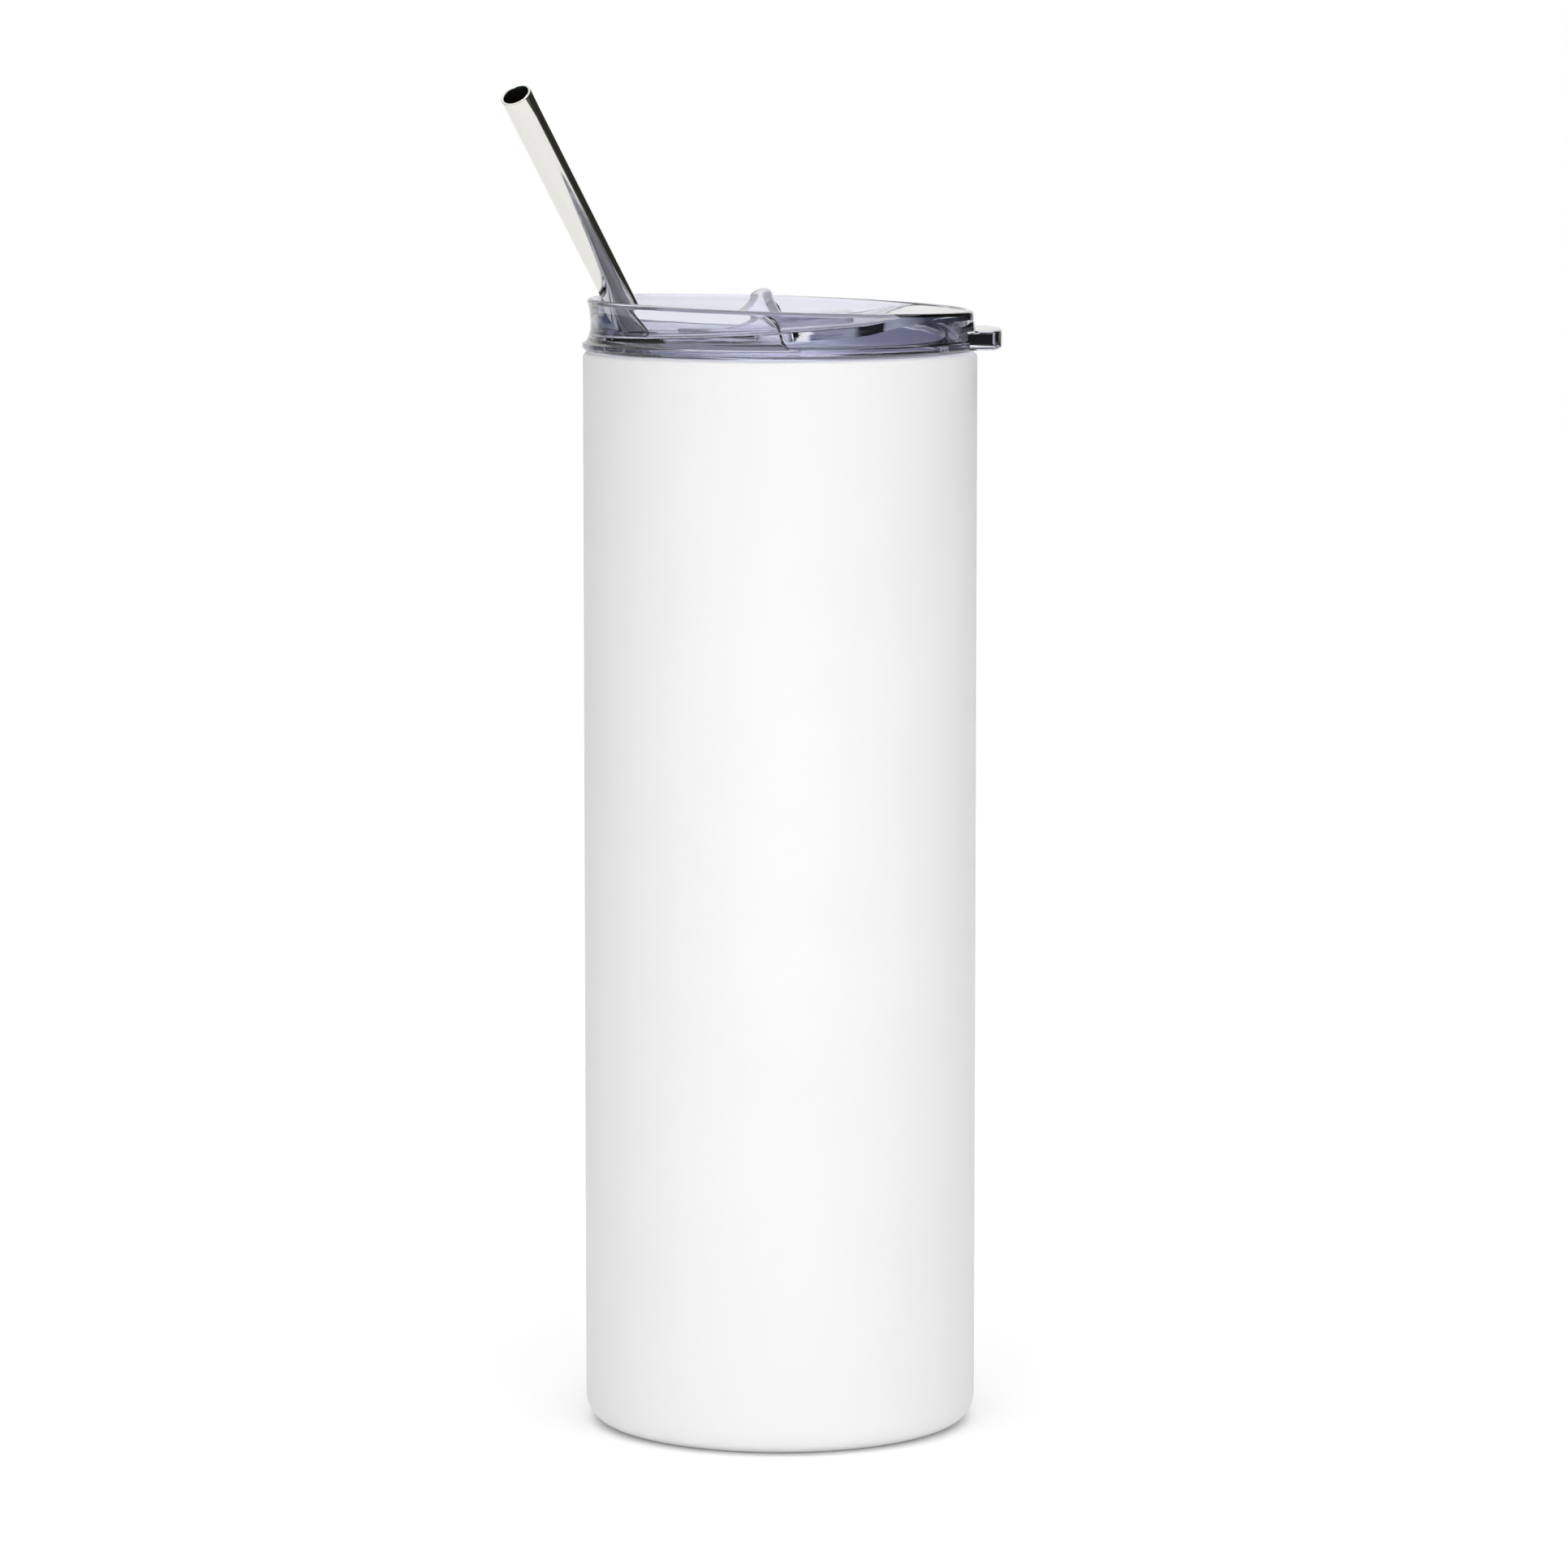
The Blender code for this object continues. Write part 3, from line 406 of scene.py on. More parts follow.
def settle(item):
    """Bake an object, close its seams and turn its faces outwards."""
    mesh = bake(item)
    shape = bmesh.new()
    shape.from_mesh(mesh)
    bmesh.ops.remove_doubles(shape, verts=shape.verts, dist=WELD)
    bmesh.ops.recalc_face_normals(shape, faces=shape.faces)
    if shape.calc_volume(signed=True) < 0:
        bmesh.ops.reverse_faces(shape, faces=shape.faces)
    loose = sum(1 for edge in shape.edges if len(edge.link_faces) != 2)
    shape.to_mesh(mesh)
    shape.free()
    mesh.shade_smooth()
    mesh.set_sharp_from_angle(angle=SHARP)
    mesh.name = item.name
    triangles = sum(len(face.vertices) - 2 for face in mesh.polygons)
    print(f"{item.name}: {triangles} triangles, {loose} open edges")
    return item


def even(item):
    """Weight the normals by area, so that flat faces stay flat beside rounded edges."""
    weigh = item.modifiers.new("even", "WEIGHTED_NORMAL")
    weigh.keep_sharp = True
    bake(item)


print("corners past", round(math.degrees(SHARP)), "degrees stay crisp")

# %% [markdown]
# Two more helpers finish a piece. One turns a drawing on the lathe tree. The other lets a finished piece
# ride on its body, in place of the solids that it dresses.

# %% Turn a piece, dress a body
LATHE_STEPS = 192


def turned(name, corners, finish, closed=True, base=0.0):
    """Turn a drawing of (radius, height, rounding) corners round Z with the tree."""
    points = rounded(corners, closed)
    edges = [(index, index + 1) for index in range(len(points) - 1)]
    if closed:
        edges.append((len(points) - 1, 0))
    drawn = [(radius - CUP_RADIUS, -(base + height), 0.0) for radius, height in points]
    item = from_points(name, drawn, edges, [])
    run_tree(item, turning, CUP_RADIUS, LATHE_STEPS, finish)
    return settle(item)


def dress(item, body, slot, *nodes):
    """Let a piece ride on a body in place of solids. The slot is not used."""
    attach(item, body)
    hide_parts(*nodes)


print("lathe steps:", LATHE_STEPS)

# %% [markdown]
# ## The coated shell
# The shell is one sheet of steel: curled in at the mouth to meet the liner, straight down, then rounded
# under into a narrow foot with a short hem. The round at the foot is what the shadow line follows, so
# it gets a fine arc.

# %% Turn the shell
SHOULDER = 1.0 * MM
FOOT_ROUND = 5.0 * MM
FOOT_FLAT = 1.3 * MM
HEM = 2.8 * MM
WELD_LINE = 0.02 * MM
lip = LINER_OUTER + WELD_LINE
foot_inner = CUP_RADIUS - FOOT_ROUND - FOOT_FLAT
shell_inner = CUP_RADIUS - SHEET
shell = turned("coated_shell", [
    (lip, CUP_HEIGHT, 0.0),
    (CUP_RADIUS, CUP_HEIGHT, SHOULDER),
    (CUP_RADIUS, 0.0, FOOT_ROUND),
    (foot_inner, 0.0, SHEET),
    (foot_inner, HEM, 0.0),
    (foot_inner + SHEET, HEM, 0.0),
    (foot_inner + SHEET, SHEET, 0.0),
    (shell_inner, SHEET, FOOT_ROUND - SHEET),
    (shell_inner, CUP_HEIGHT - SHEET, SHOULDER - SHEET),
    (lip, CUP_HEIGHT - SHEET, 0.0),
], white_coat)
dress(shell, "cup", "white_coat", "outer_shell")

# %% [markdown]
# ## The liner and the base cover
# The liner and its pressed bottom are welded and polished into one bright pot, so here they are one
# drawing that ends on the axis. The cover is a shallow dish pressed into the foot.

# %% Turn the liner and the cover
LINER_FLOOR = 10.0 * MM
LINER_ROUND = 5.5 * MM
LINER_LIP = SHEET * 0.45
liner = turned("polished_liner", [
    (0.0, LINER_FLOOR, 0.0),
    (LINER_INNER, LINER_FLOOR, LINER_ROUND),
    (LINER_INNER, CUP_HEIGHT, LINER_LIP),
    (LINER_OUTER, CUP_HEIGHT, LINER_LIP),
    (LINER_OUTER, LINER_FLOOR - SHEET, LINER_ROUND + SHEET),
    (0.0, LINER_FLOOR - SHEET, 0.0),
], spun_steel, closed=False)
dress(liner, "cup", "bare_steel", "inner_liner", "liner_base")

COVER_ROUND = 0.8 * MM
cover_edge = cover_high.y
cover = turned("base_cover_dish", [
    (0.0, cover_low.z + SHEET, 0.0),
    (cover_edge - SHEET, cover_low.z + SHEET, COVER_ROUND - SHEET),
    (cover_edge - SHEET, cover_high.z, 0.0),
    (cover_edge, cover_high.z, 0.0),
    (cover_edge, cover_low.z, COVER_ROUND),
    (0.0, cover_low.z, 0.0),
], turned_steel, closed=False)
dress(cover, "cup", "cover_steel", "base_cover")

# %% [markdown]
# ## The lid as a grid
# The lid is the piece that the eye goes to, and light bends in every face of it, so its shape has to
# be smooth. Cutting and joining blocks would leave ragged edges in the refraction. Instead the whole
# moulding is one grid: for each direction round the axis, a half section runs from the middle of the
# well's floor, up the wall, over the rim, down the outside with its hollow drinking lip, round the
# flange, down the plug and back under the floor. The sections have equal numbers of points, so
# neighbours join into a skin.

# %% Sizes of the lid, as heights over its seat
RIM_RISE = 8.55 * MM
RIM_FALL = math.tan(math.radians(1.87))
RIM_ROUND = 0.9 * MM
LID_WALL = 1.85 * MM
FLANGE_RADIUS = lid_high.y
WALL_DRAFT = 0.6 * MM
WALL_FOOT = 2.2 * MM
FLANGE_STEP = 0.3 * MM
FLANGE_ROUND = 0.9 * MM
WALL_RADIUS = FLANGE_RADIUS - FLANGE_STEP
RIM_RADIUS = WALL_RADIUS - WALL_DRAFT
WELL_RADIUS = RIM_RADIUS - LID_WALL
PLUG_PLAY = 0.8 * MM
PLUG_WALL = 1.8 * MM
PLUG_RADIUS = LINER_INNER - PLUG_PLAY
PLUG_INNER = PLUG_RADIUS - PLUG_WALL
PLUG_DEPTH = 11.5 * MM
PLUG_ROUND = 0.6 * MM
WEB = 1.6 * MM
GROOVE_DROP = 4.0 * MM
GROOVE_HEIGHT = 3.6 * MM
GROOVE_DEPTH = 0.8 * MM
GROOVE_RADIUS = PLUG_RADIUS - GROOVE_DEPTH
print(f"lid {FLANGE_RADIUS * 2000:.1f} mm across the flange")

# %% [markdown]
# The floor of the well slopes down to the drinking lip, so that the last sip runs back, and ramps up
# to a small deck beside the tab. One function gives its height for any place along the lid.

# %% Height of the floor
FLOOR_RISE = 4.47 * MM
FLOOR_SLOPE = 0.0697
FLOOR_WALL = 1.6 * MM
STRAW_HOLE = 4.1 * MM
HOLE_EDGE = 0.13 * MM
SLIDER_START = 3.6 * MM
SLIDER_LENGTH = 32.5 * MM
RAMP_GAP = 0.5 * MM
DECK_WIDTH = 6.87 * MM
DECK_STEP = 0.25 * MM
STRAW_PLACE = -(PLUG_INNER - HOLE_EDGE - STRAW_HOLE)
SLIDER_LEFT = STRAW_PLACE + STRAW_HOLE + SLIDER_START
SLIDER_RIGHT = SLIDER_LEFT + SLIDER_LENGTH
RAMP_START = SLIDER_RIGHT + RAMP_GAP
DECK_START = WELL_RADIUS - DECK_WIDTH


def ease(share):
    """Smooth step from 0 to 1."""
    share = min(max(share, 0.0), 1.0)
    return share * share * (3 - 2 * share)


def rim_height(x):
    """Height of the rim, which leans down towards the tab."""
    return RIM_RISE - RIM_FALL * x


def floor_height(x):
    """Height of the well's floor: a slope, a ramp, then the deck."""
    slope = FLOOR_RISE + FLOOR_SLOPE * x
    share = ease((x - RAMP_START) / (DECK_START - RAMP_START))
    return slope + (rim_height(x) - DECK_STEP - slope) * share


for name, spot in (("straw", STRAW_PLACE), ("deck", DECK_START)):
    print(f"floor at the {name}: {floor_height(spot) * 1000:.2f} mm")

# %% [markdown]
# The outside of the wall has two shapes. On the tab's half it is plain, with a little draft. On the
# drinking half it is hollowed like a waist under a thin bead. The border between them is an S-shaped
# crease, and a mask that goes from 0 to 1 across it blends one radius into the other.

# %% Outside of the wall
WAIST_DEPTH = 1.25 * MM
WAIST_RADIUS = WALL_RADIUS - WAIST_DEPTH
WAIST_RISE = 4.4 * MM
WAIST_UPPER = 12.0 * MM
WAIST_LOWER = 4.5 * MM
WAIST_FLOOR = 1.5 * MM
BEAD = 0.6 * MM
WAIST_TOP = RIM_RISE - BEAD
CREASE_LEAN = 0.9 * MM
CREASE_TOP_ROUND = 2.5 * MM
CREASE_FOOT_ROUND = 2.0 * MM
CREASE_WIDTH = 0.55 * MM
CREASE_STEP = 0.05 * MM


def plain_radius(z):
    """Radius of the plain wall, its rim round and the flange at a height."""
    if z > RIM_RISE - RIM_ROUND:
        rise = min((z - RIM_RISE + RIM_ROUND) / RIM_ROUND, 1.0)
        return plain_radius(RIM_RISE - RIM_ROUND) - RIM_ROUND * (1 - math.sqrt(1 - rise * rise))
    if z > WALL_FOOT:
        return RIM_RADIUS + WALL_DRAFT * (RIM_RISE - z) / (RIM_RISE - WALL_FOOT)
    return min(WALL_RADIUS + (WALL_FOOT - z), FLANGE_RADIUS)


def waist_radius(z):
    """Radius of the hollow waist at a height: a long arc above its neck and a short one below."""
    arc = WAIST_UPPER if z > WAIST_RISE else WAIST_LOWER
    rise = min(abs(z - WAIST_RISE) / arc, 1.0)
    return WAIST_RADIUS + arc * (1 - math.sqrt(1 - rise * rise))


def crease_place(z):
    """Where the S-shaped crease stands at a height: x on the lid, drawn from the front."""
    share = (z - WAIST_FLOOR) / (WAIST_TOP - WAIST_FLOOR)
    x = CREASE_LEAN * (1 - 2 * share)
    near_top = max(z - (WAIST_TOP - CREASE_TOP_ROUND), 0.0) / CREASE_TOP_ROUND
    near_foot = max(WAIST_FLOOR + CREASE_FOOT_ROUND - z, 0.0) / CREASE_FOOT_ROUND
    x -= CREASE_TOP_ROUND * (1 - math.sqrt(max(1 - near_top * near_top, 0.0)))
    x += CREASE_FOOT_ROUND * (1 - math.sqrt(max(1 - near_foot * near_foot, 0.0)))
    return x


def outer_radius(x, z):
    """Radius of the lid's outside at a place along it and a height."""
    plain = plain_radius(z)
    if not WAIST_FLOOR - CREASE_WIDTH < z < WAIST_TOP + CREASE_WIDTH:
        return plain
    inner = min(max(z, WAIST_FLOOR), WAIST_TOP)
    above = crease_place(min(inner + CREASE_STEP, WAIST_TOP))
    below = crease_place(max(inner - CREASE_STEP, WAIST_FLOOR))
    steep = (above - below) / (2 * CREASE_STEP)
    aside = (crease_place(inner) - x) / math.sqrt(1 + steep * steep)
    depth = min(aside, WAIST_TOP - z, z - WAIST_FLOOR)
    mask = ease(depth / CREASE_WIDTH + 0.5)
    return plain - mask * max(plain - waist_radius(z), 0.0)


print(f"waist {WAIST_DEPTH * 1000:.2f} mm deep")

# %% [markdown]
# Now one half section of the lid. The heights of its outside and the drawing of its plug are the same
# in every direction, so they come first. Where the deck comes up to the rim, the inner wall has no
# height left: its points then fall on one another and are merged afterwards.

# %% Parts of the section that stay the same
RIM_POINTS = 16
WALL_POINTS = 26
FOOT_POINTS = 18


def spread(first, final, count):
    """Evenly spaced values after the first one, up to the final one."""
    return [first + (final - first) * step / count for step in range(1, count + 1)]


outside = [RIM_RISE]
for turn in spread(0.0, math.pi / 2, RIM_POINTS):
    outside.append(RIM_RISE - RIM_ROUND * (1 - math.cos(turn)))
outside += spread(RIM_RISE - RIM_ROUND, WALL_FOOT + BEAD, WALL_POINTS)
outside += spread(WALL_FOOT + BEAD, WAIST_FLOOR - BEAD / 2, FOOT_POINTS)

groove_foot = -GROOVE_DROP - GROOVE_HEIGHT
plug = [tuple(point) for point in rounded([
    (PLUG_RADIUS + GAP, 0.0, 0.0),
    (PLUG_RADIUS, 0.0, GAP / 2),
    (PLUG_RADIUS, -GROOVE_DROP, 0.0),
    (GROOVE_RADIUS, -GROOVE_DROP, 0.0),
    (GROOVE_RADIUS, groove_foot, 0.0),
    (PLUG_RADIUS, groove_foot, 0.0),
    (PLUG_RADIUS, -PLUG_DEPTH, PLUG_ROUND),
    (PLUG_INNER, -PLUG_DEPTH, PLUG_ROUND),
    (PLUG_INNER, PLUG_ROUND - PLUG_DEPTH, 0.0),
], closed=False)]
print("points on the outside:", len(outside), "and on the plug:", len(plug))

# %% One half section
FILLET = 0.8 * MM
FLOOR_POINTS = 22
ROUND_POINTS = 8
SHAFT_POINTS = 6
LEDGE_POINTS = 4
ROOF_POINTS = 18
STEEPEST = 0.95


def lid_section(angle):
    """(radius, height) points of the lid's half section in one direction, pole to pole."""
    along = math.cos(angle)
    rim = rim_height(WELL_RADIUS * along)
    floor = floor_height(WELL_RADIUS * along)
    room = rim - RIM_ROUND - floor
    fillet = min(max(room / 2, 0.0), FILLET)
    start = math.asin(min(max(-room / RIM_ROUND, 0.0), STEEPEST))
    reach = WELL_RADIUS + RIM_ROUND * (1 - math.cos(start))
    points = [(0.0, floor_height(0.0))]
    across = spread(0.0, reach - FILLET, FLOOR_POINTS) + spread(reach - FILLET, reach, ROUND_POINTS)
    for radius in across:
        bite = max(fillet - (reach - radius), 0.0)
        rise = fillet - math.sqrt(max(fillet * fillet - bite * bite, 0.0))
        points.append((radius, floor_height(radius * along) + rise))
    base = points[-1][1]
    for height in spread(base, rim - RIM_ROUND + RIM_ROUND * math.sin(start), ROUND_POINTS):
        points.append((reach, height))
    for turn in spread(start, math.pi / 2, ROUND_POINTS):
        radius = WELL_RADIUS + RIM_ROUND * (1 - math.cos(turn))
        points.append((radius, rim_height(radius * along) - RIM_ROUND * (1 - math.sin(turn))))
    for height in outside:
        radius = outer_radius(CUP_RADIUS * along, height)
        share = min(max((height - WALL_FOOT) / (RIM_RISE - WALL_FOOT), 0.0), 1.0)
        points.append((radius, height - RIM_FALL * radius * along * share))
    for turn in spread(0.0, math.pi / 2, ROUND_POINTS):
        radius = FLANGE_RADIUS - FLANGE_ROUND * (1 - math.cos(turn))
        points.append((radius, FLANGE_ROUND * (1 - math.sin(turn))))
    points += plug
    under = floor_height(PLUG_INNER * along) - FLOOR_WALL
    roof = floor_height(WELL_RADIUS * along) - FLOOR_WALL
    pocket = PLUG_INNER + (WELL_RADIUS - PLUG_INNER) * ease((roof - WEB) / WEB)
    ledge = min(WEB, under)
    points += [(PLUG_INNER, height) for height in spread(PLUG_ROUND - PLUG_DEPTH, ledge, SHAFT_POINTS)]
    points += [(radius, ledge) for radius in spread(PLUG_INNER, pocket, LEDGE_POINTS)]
    roof = floor_height(pocket * along) - FLOOR_WALL
    points += [(pocket, height) for height in spread(ledge, roof, LEDGE_POINTS)]
    for radius in spread(pocket, 0.0, ROOF_POINTS):
        points.append((radius, floor_height(radius * along) - FLOOR_WALL))
    return points


print("points in a half section:", len(lid_section(0.0)))

# %% [markdown]
# The directions are close together at the two creases and wider apart elsewhere. The first and last
# point of every section are the two poles on the axis, so they are shared.

# %% Skin the sections
CREASE_HALF = math.radians(9)
FINE = math.radians(0.22)
COARSE = math.radians(1.5)
fine_steps = round(2 * CREASE_HALF / FINE)
coarse_steps = round((math.pi - 2 * CREASE_HALF) / COARSE)
angles = []
for middle in (math.pi / 2, 3 * math.pi / 2):
    low, high = middle - CREASE_HALF, middle + CREASE_HALF
    angles += list(np.linspace(low, high, fine_steps, endpoint=False))
    angles += list(np.linspace(high, middle + math.pi - CREASE_HALF, coarse_steps, endpoint=False))


def skin(shape, rows):
    """Join neighbouring rows with faces. Where two corners are the same point, it counts once."""
    for near, far in zip(rows, rows[1:]):
        for index in range(len(near) - 1):
            ring = [near[index], near[index + 1], far[index + 1], far[index]]
            shape.faces.new(list(dict.fromkeys(ring)))


lid_shape = bmesh.new()
sections = [lid_section(angle) for angle in angles]
top_pole = lid_shape.verts.new((0.0, 0.0, LID_SEAT + sections[0][0][1]))
low_pole = lid_shape.verts.new((0.0, 0.0, LID_SEAT + sections[0][-1][1]))
columns = []
for angle, section in zip(angles, sections):
    across = [(r * math.cos(angle), r * math.sin(angle), LID_SEAT + z) for r, z in section[1:-1]]
    columns.append([top_pole] + [lid_shape.verts.new(point) for point in across] + [low_pole])
skin(lid_shape, columns + columns[:1])
bmesh.ops.remove_doubles(lid_shape, verts=lid_shape.verts, dist=WELD)
bmesh.ops.dissolve_degenerate(lid_shape, edges=lid_shape.edges, dist=WELD)
lid = from_shape("clear_lid_moulding", lid_shape, clear_lid)
settle(lid)

# %% [markdown]
# Three things break the round of the lid, so they are cut and joined: the pull tab, the hole for the
# straw and the slot of the slider. Each is a prism, and those that show have bevelled edges. A Boolean
# with the exact solver keeps the lid closed.

# %% Prisms and Booleans
PRISM_CORNER = math.radians(80)


def bevel(item, width, segments, corner):
    """Round the edges that turn by more than an angle."""
    edge = item.modifiers.new("edge", "BEVEL")
    edge.width = width
    edge.segments = segments
    edge.limit_method = "ANGLE"
    edge.angle_limit = corner


def prism(name, outline, low, high, finish, edge=0.0, segments=4):
    """Extrude a flat outline from low to high, with rounded edges."""
    shape = bmesh.new()
    base = shape.faces.new([shape.verts.new((x, y, low)) for x, y in outline])
    grown = bmesh.ops.extrude_face_region(shape, geom=[base])
    raised = [item for item in grown["geom"] if isinstance(item, bmesh.types.BMVert)]
    bmesh.ops.translate(shape, verts=raised, vec=(0.0, 0.0, high - low))
    bmesh.ops.recalc_face_normals(shape, faces=shape.faces)
    item = from_shape(name, shape, finish)
    if edge:
        bevel(item, edge, segments, PRISM_CORNER)
    return item


def plate_outline(left, right, half, left_round, right_round):
    """Outline of a plate from left to right, with roundings for its left and its right corners."""
    return rounded([
        (left, -half, left_round),
        (right, -half, right_round),
        (right, half, right_round),
        (left, half, left_round),
    ])


def join(item, other, operation):
    """Add or cut another object with the exact solver, and remove it."""
    boolean = item.modifiers.new(operation.lower(), "BOOLEAN")
    boolean.operation = operation
    boolean.solver = "EXACT"
    boolean.object = other
    settle(item)
    bpy.data.objects.remove(other, do_unlink=True)


print("prism corners past", round(math.degrees(PRISM_CORNER)), "degrees are bevelled")

# %% Tab, straw hole and slot
TAB_REACH = lid_high.x
TAB_HALF = 11.5 * MM
TAB_LOW = 0.4 * MM
TAB_THICK = 3.6 * MM
TAB_ROUND = 0.6 * MM
TAB_POINTS = 25
HOLE_POINTS = 64
PEG_PLACE = -1.0 * MM
PEG_LENGTH = 4.0 * MM
PEG_WIDTH = 4.4 * MM
TRAVEL = 12.0 * MM
tab_spread = math.asin(TAB_HALF / TAB_REACH)
tab_root = (WELL_RADIUS + LID_WALL / 2) * math.cos(tab_spread)
tab_outline = [(tab_root, TAB_HALF), (tab_root, -TAB_HALF)]
for angle in np.linspace(-tab_spread, tab_spread, TAB_POINTS):
    tab_outline.append((TAB_REACH * math.cos(angle), TAB_REACH * math.sin(angle)))
tab_low = LID_SEAT + TAB_LOW
join(lid, prism("tab", tab_outline, tab_low, tab_low + TAB_THICK, clear_lid, TAB_ROUND), "UNION")

lid_top = LID_SEAT + RIM_RISE
hole_outline = [
    (STRAW_PLACE + STRAW_HOLE * math.cos(angle), STRAW_HOLE * math.sin(angle))
    for angle in np.linspace(0.0, 2 * math.pi, HOLE_POINTS, endpoint=False)
]
join(lid, prism("hole", hole_outline, LID_SEAT - WEB, lid_top, clear_lid), "DIFFERENCE")

slot_half = PEG_WIDTH / 2 + GAP
slot_right = PEG_PLACE + PEG_LENGTH / 2 + GAP
slot_left = PEG_PLACE - PEG_LENGTH / 2 - GAP - TRAVEL
slot_outline = plate_outline(slot_left, slot_right, slot_half, PEG_WIDTH / 4, 0.0)
join(lid, prism("slot", slot_outline, LID_SEAT, lid_top, clear_lid), "DIFFERENCE")
even(lid)
dress(lid, "lid", "clear_lid", "lid_body")

# %% [markdown]
# ## The seal
# A silicone ring sits in the plug's groove. Two soft lips on it press against the liner, so its drawing
# is a small comb with rounded teeth.

# %% Turn the seal
LIP_ROUND = 0.15 * MM
TOOTH_STEPS = 5
seal_tip = LINER_INNER - GAP
seal_back = GROOVE_RADIUS + GAP
seal_top = -GROOVE_DROP - GAP
seal_foot = groove_foot + GAP
tooth = (seal_top - seal_foot) / TOOTH_STEPS
seal = turned("silicone_seal", [
    (seal_back, seal_top, 0.0),
    (PLUG_RADIUS, seal_top, LIP_ROUND),
    (seal_tip, seal_top - tooth, LIP_ROUND),
    (PLUG_RADIUS, seal_top - 2 * tooth, LIP_ROUND),
    (PLUG_RADIUS, seal_foot + 2 * tooth, LIP_ROUND),
    (seal_tip, seal_foot + tooth, LIP_ROUND),
    (PLUG_RADIUS, seal_foot, LIP_ROUND),
    (seal_back, seal_foot, 0.0),
], silicone, base=LID_SEAT)
dress(seal, "lid", "clear_silicone", "lid_seal")

# %% [markdown]
# ## The slider
# The slider is a plate that lies on the sloping floor, with a thumb fin across it. The fin is a thin
# blade with a long flare in front and a short one behind, bowed in plan, so it is skinned from slices
# across its length. A peg goes down through the slot and is staked under a clip.

# %% Slices of the fin
PLATE = 1.4 * MM
FIN_PLACE = -3.9 * MM
FIN_THICK = 2.2 * MM
FIN_HEIGHT = 5.35 * MM
FIN_HALF = 7.0 * MM
FIN_BOW = 1.6 * MM
FIN_FRONT = 5.4 * MM
FIN_FRONT_CURVE = 2.2
FIN_BACK = 1.9 * MM
FIN_BACK_CURVE = 1.6
FIN_DROP = 0.12
FIN_SLICES = 41
FIN_LEVELS = 22
FIN_CROWN_POINTS = 12


def fin_slice(station):
    """One slice across the fin, as a closed ring of points."""
    y = FIN_HALF * station
    middle = FIN_PLACE + FIN_BOW * (1 - station * station)
    height = FIN_HEIGHT * (1 - FIN_DROP * station**4)
    base = GAP + PLATE
    crown = FIN_THICK / 2
    front, back = [], []
    for level in np.linspace(0.0, 1 - crown / height, FIN_LEVELS):
        z = base + height * level
        front.append((middle - crown - FIN_FRONT * (1 - level) ** FIN_FRONT_CURVE, y, z))
        back.append((middle + crown + FIN_BACK * (1 - level) ** FIN_BACK_CURVE, y, z))
    left, right = front[-1][0], back[-1][0]
    top = []
    for angle in spread(math.pi, 0.0, FIN_CROWN_POINTS)[:-1]:
        x = (left + right) / 2 + (right - left) / 2 * math.cos(angle)
        top.append((x, y, front[-1][2] + crown * math.sin(angle)))
    root = base - PLATE / 2
    return [(front[0][0], y, root)] + front + top + back[::-1] + [(back[0][0], y, root)]


fin_shape = bmesh.new()
slices = []
for station in np.linspace(-1.0, 1.0, FIN_SLICES):
    slices.append([fin_shape.verts.new(point) for point in fin_slice(station)])
skin(fin_shape, [points + points[:1] for points in slices])
fin_shape.faces.new(slices[0])
fin_shape.faces.new(slices[-1])
bmesh.ops.recalc_face_normals(fin_shape, faces=fin_shape.faces)
fin = from_shape("fin", fin_shape, clear_slider)
print("fin slices:", FIN_SLICES)

# %% [markdown]
# The plate, the peg and the peg's head are drawn level, which is easier, and tilted onto the sloping
# floor together at the end.

# %% Plate, peg and head of the slider
HALF_WIDTH = 7.5 * MM
NOSE_ROUND = 7.3 * MM
TAIL_ROUND = 2.0 * MM
PLATE_EDGE = 0.3 * MM
PEG_ROUND = 0.4 * MM
HEAD_LIP = 1.0 * MM
HEAD_THICK = 0.8 * MM
HEAD_ROUND = 1.0 * MM
SMALL_EDGE = 0.2 * MM
CLIP_THICK = 1.2 * MM
clip_top = -FLOOR_WALL - GAP
head_top = clip_top - CLIP_THICK - GAP
tilt = Matrix.Rotation(-math.atan(FLOOR_SLOPE), 4, "Y")
onto_floor = Matrix.Translation((0.0, 0.0, LID_SEAT + FLOOR_RISE)) @ tilt

outline = plate_outline(SLIDER_LEFT, SLIDER_RIGHT, HALF_WIDTH, NOSE_ROUND, TAIL_ROUND)
slider = prism("clear_slider_moulding", outline, GAP, GAP + PLATE, clear_slider, PLATE_EDGE, segments=3)
settle(slider)
join(slider, fin, "UNION")

peg_left, peg_right = PEG_PLACE - PEG_LENGTH / 2, PEG_PLACE + PEG_LENGTH / 2
outline = plate_outline(peg_left, peg_right, PEG_WIDTH / 2, PEG_ROUND, PEG_ROUND)
join(slider, prism("peg", outline, head_top - HEAD_THICK / 2, GAP + PLATE / 2, clear_slider), "UNION")

head_left, head_right = peg_left - HEAD_LIP, peg_right + HEAD_LIP
outline = plate_outline(head_left, head_right, PEG_WIDTH / 2 + HEAD_LIP, HEAD_ROUND, HEAD_ROUND)
head = prism("head", outline, head_top - HEAD_THICK, head_top, clear_slider, SMALL_EDGE, segments=2)
join(slider, head, "UNION")
slider.data.transform(onto_floor)
even(slider)
dress(slider, "slider", "clear_slider", "slider")

# %% [markdown]
# The clip is a small plate with an eye for the peg. It lies under the lid's floor, on the peg's head, and
# keeps the slider in its slot.

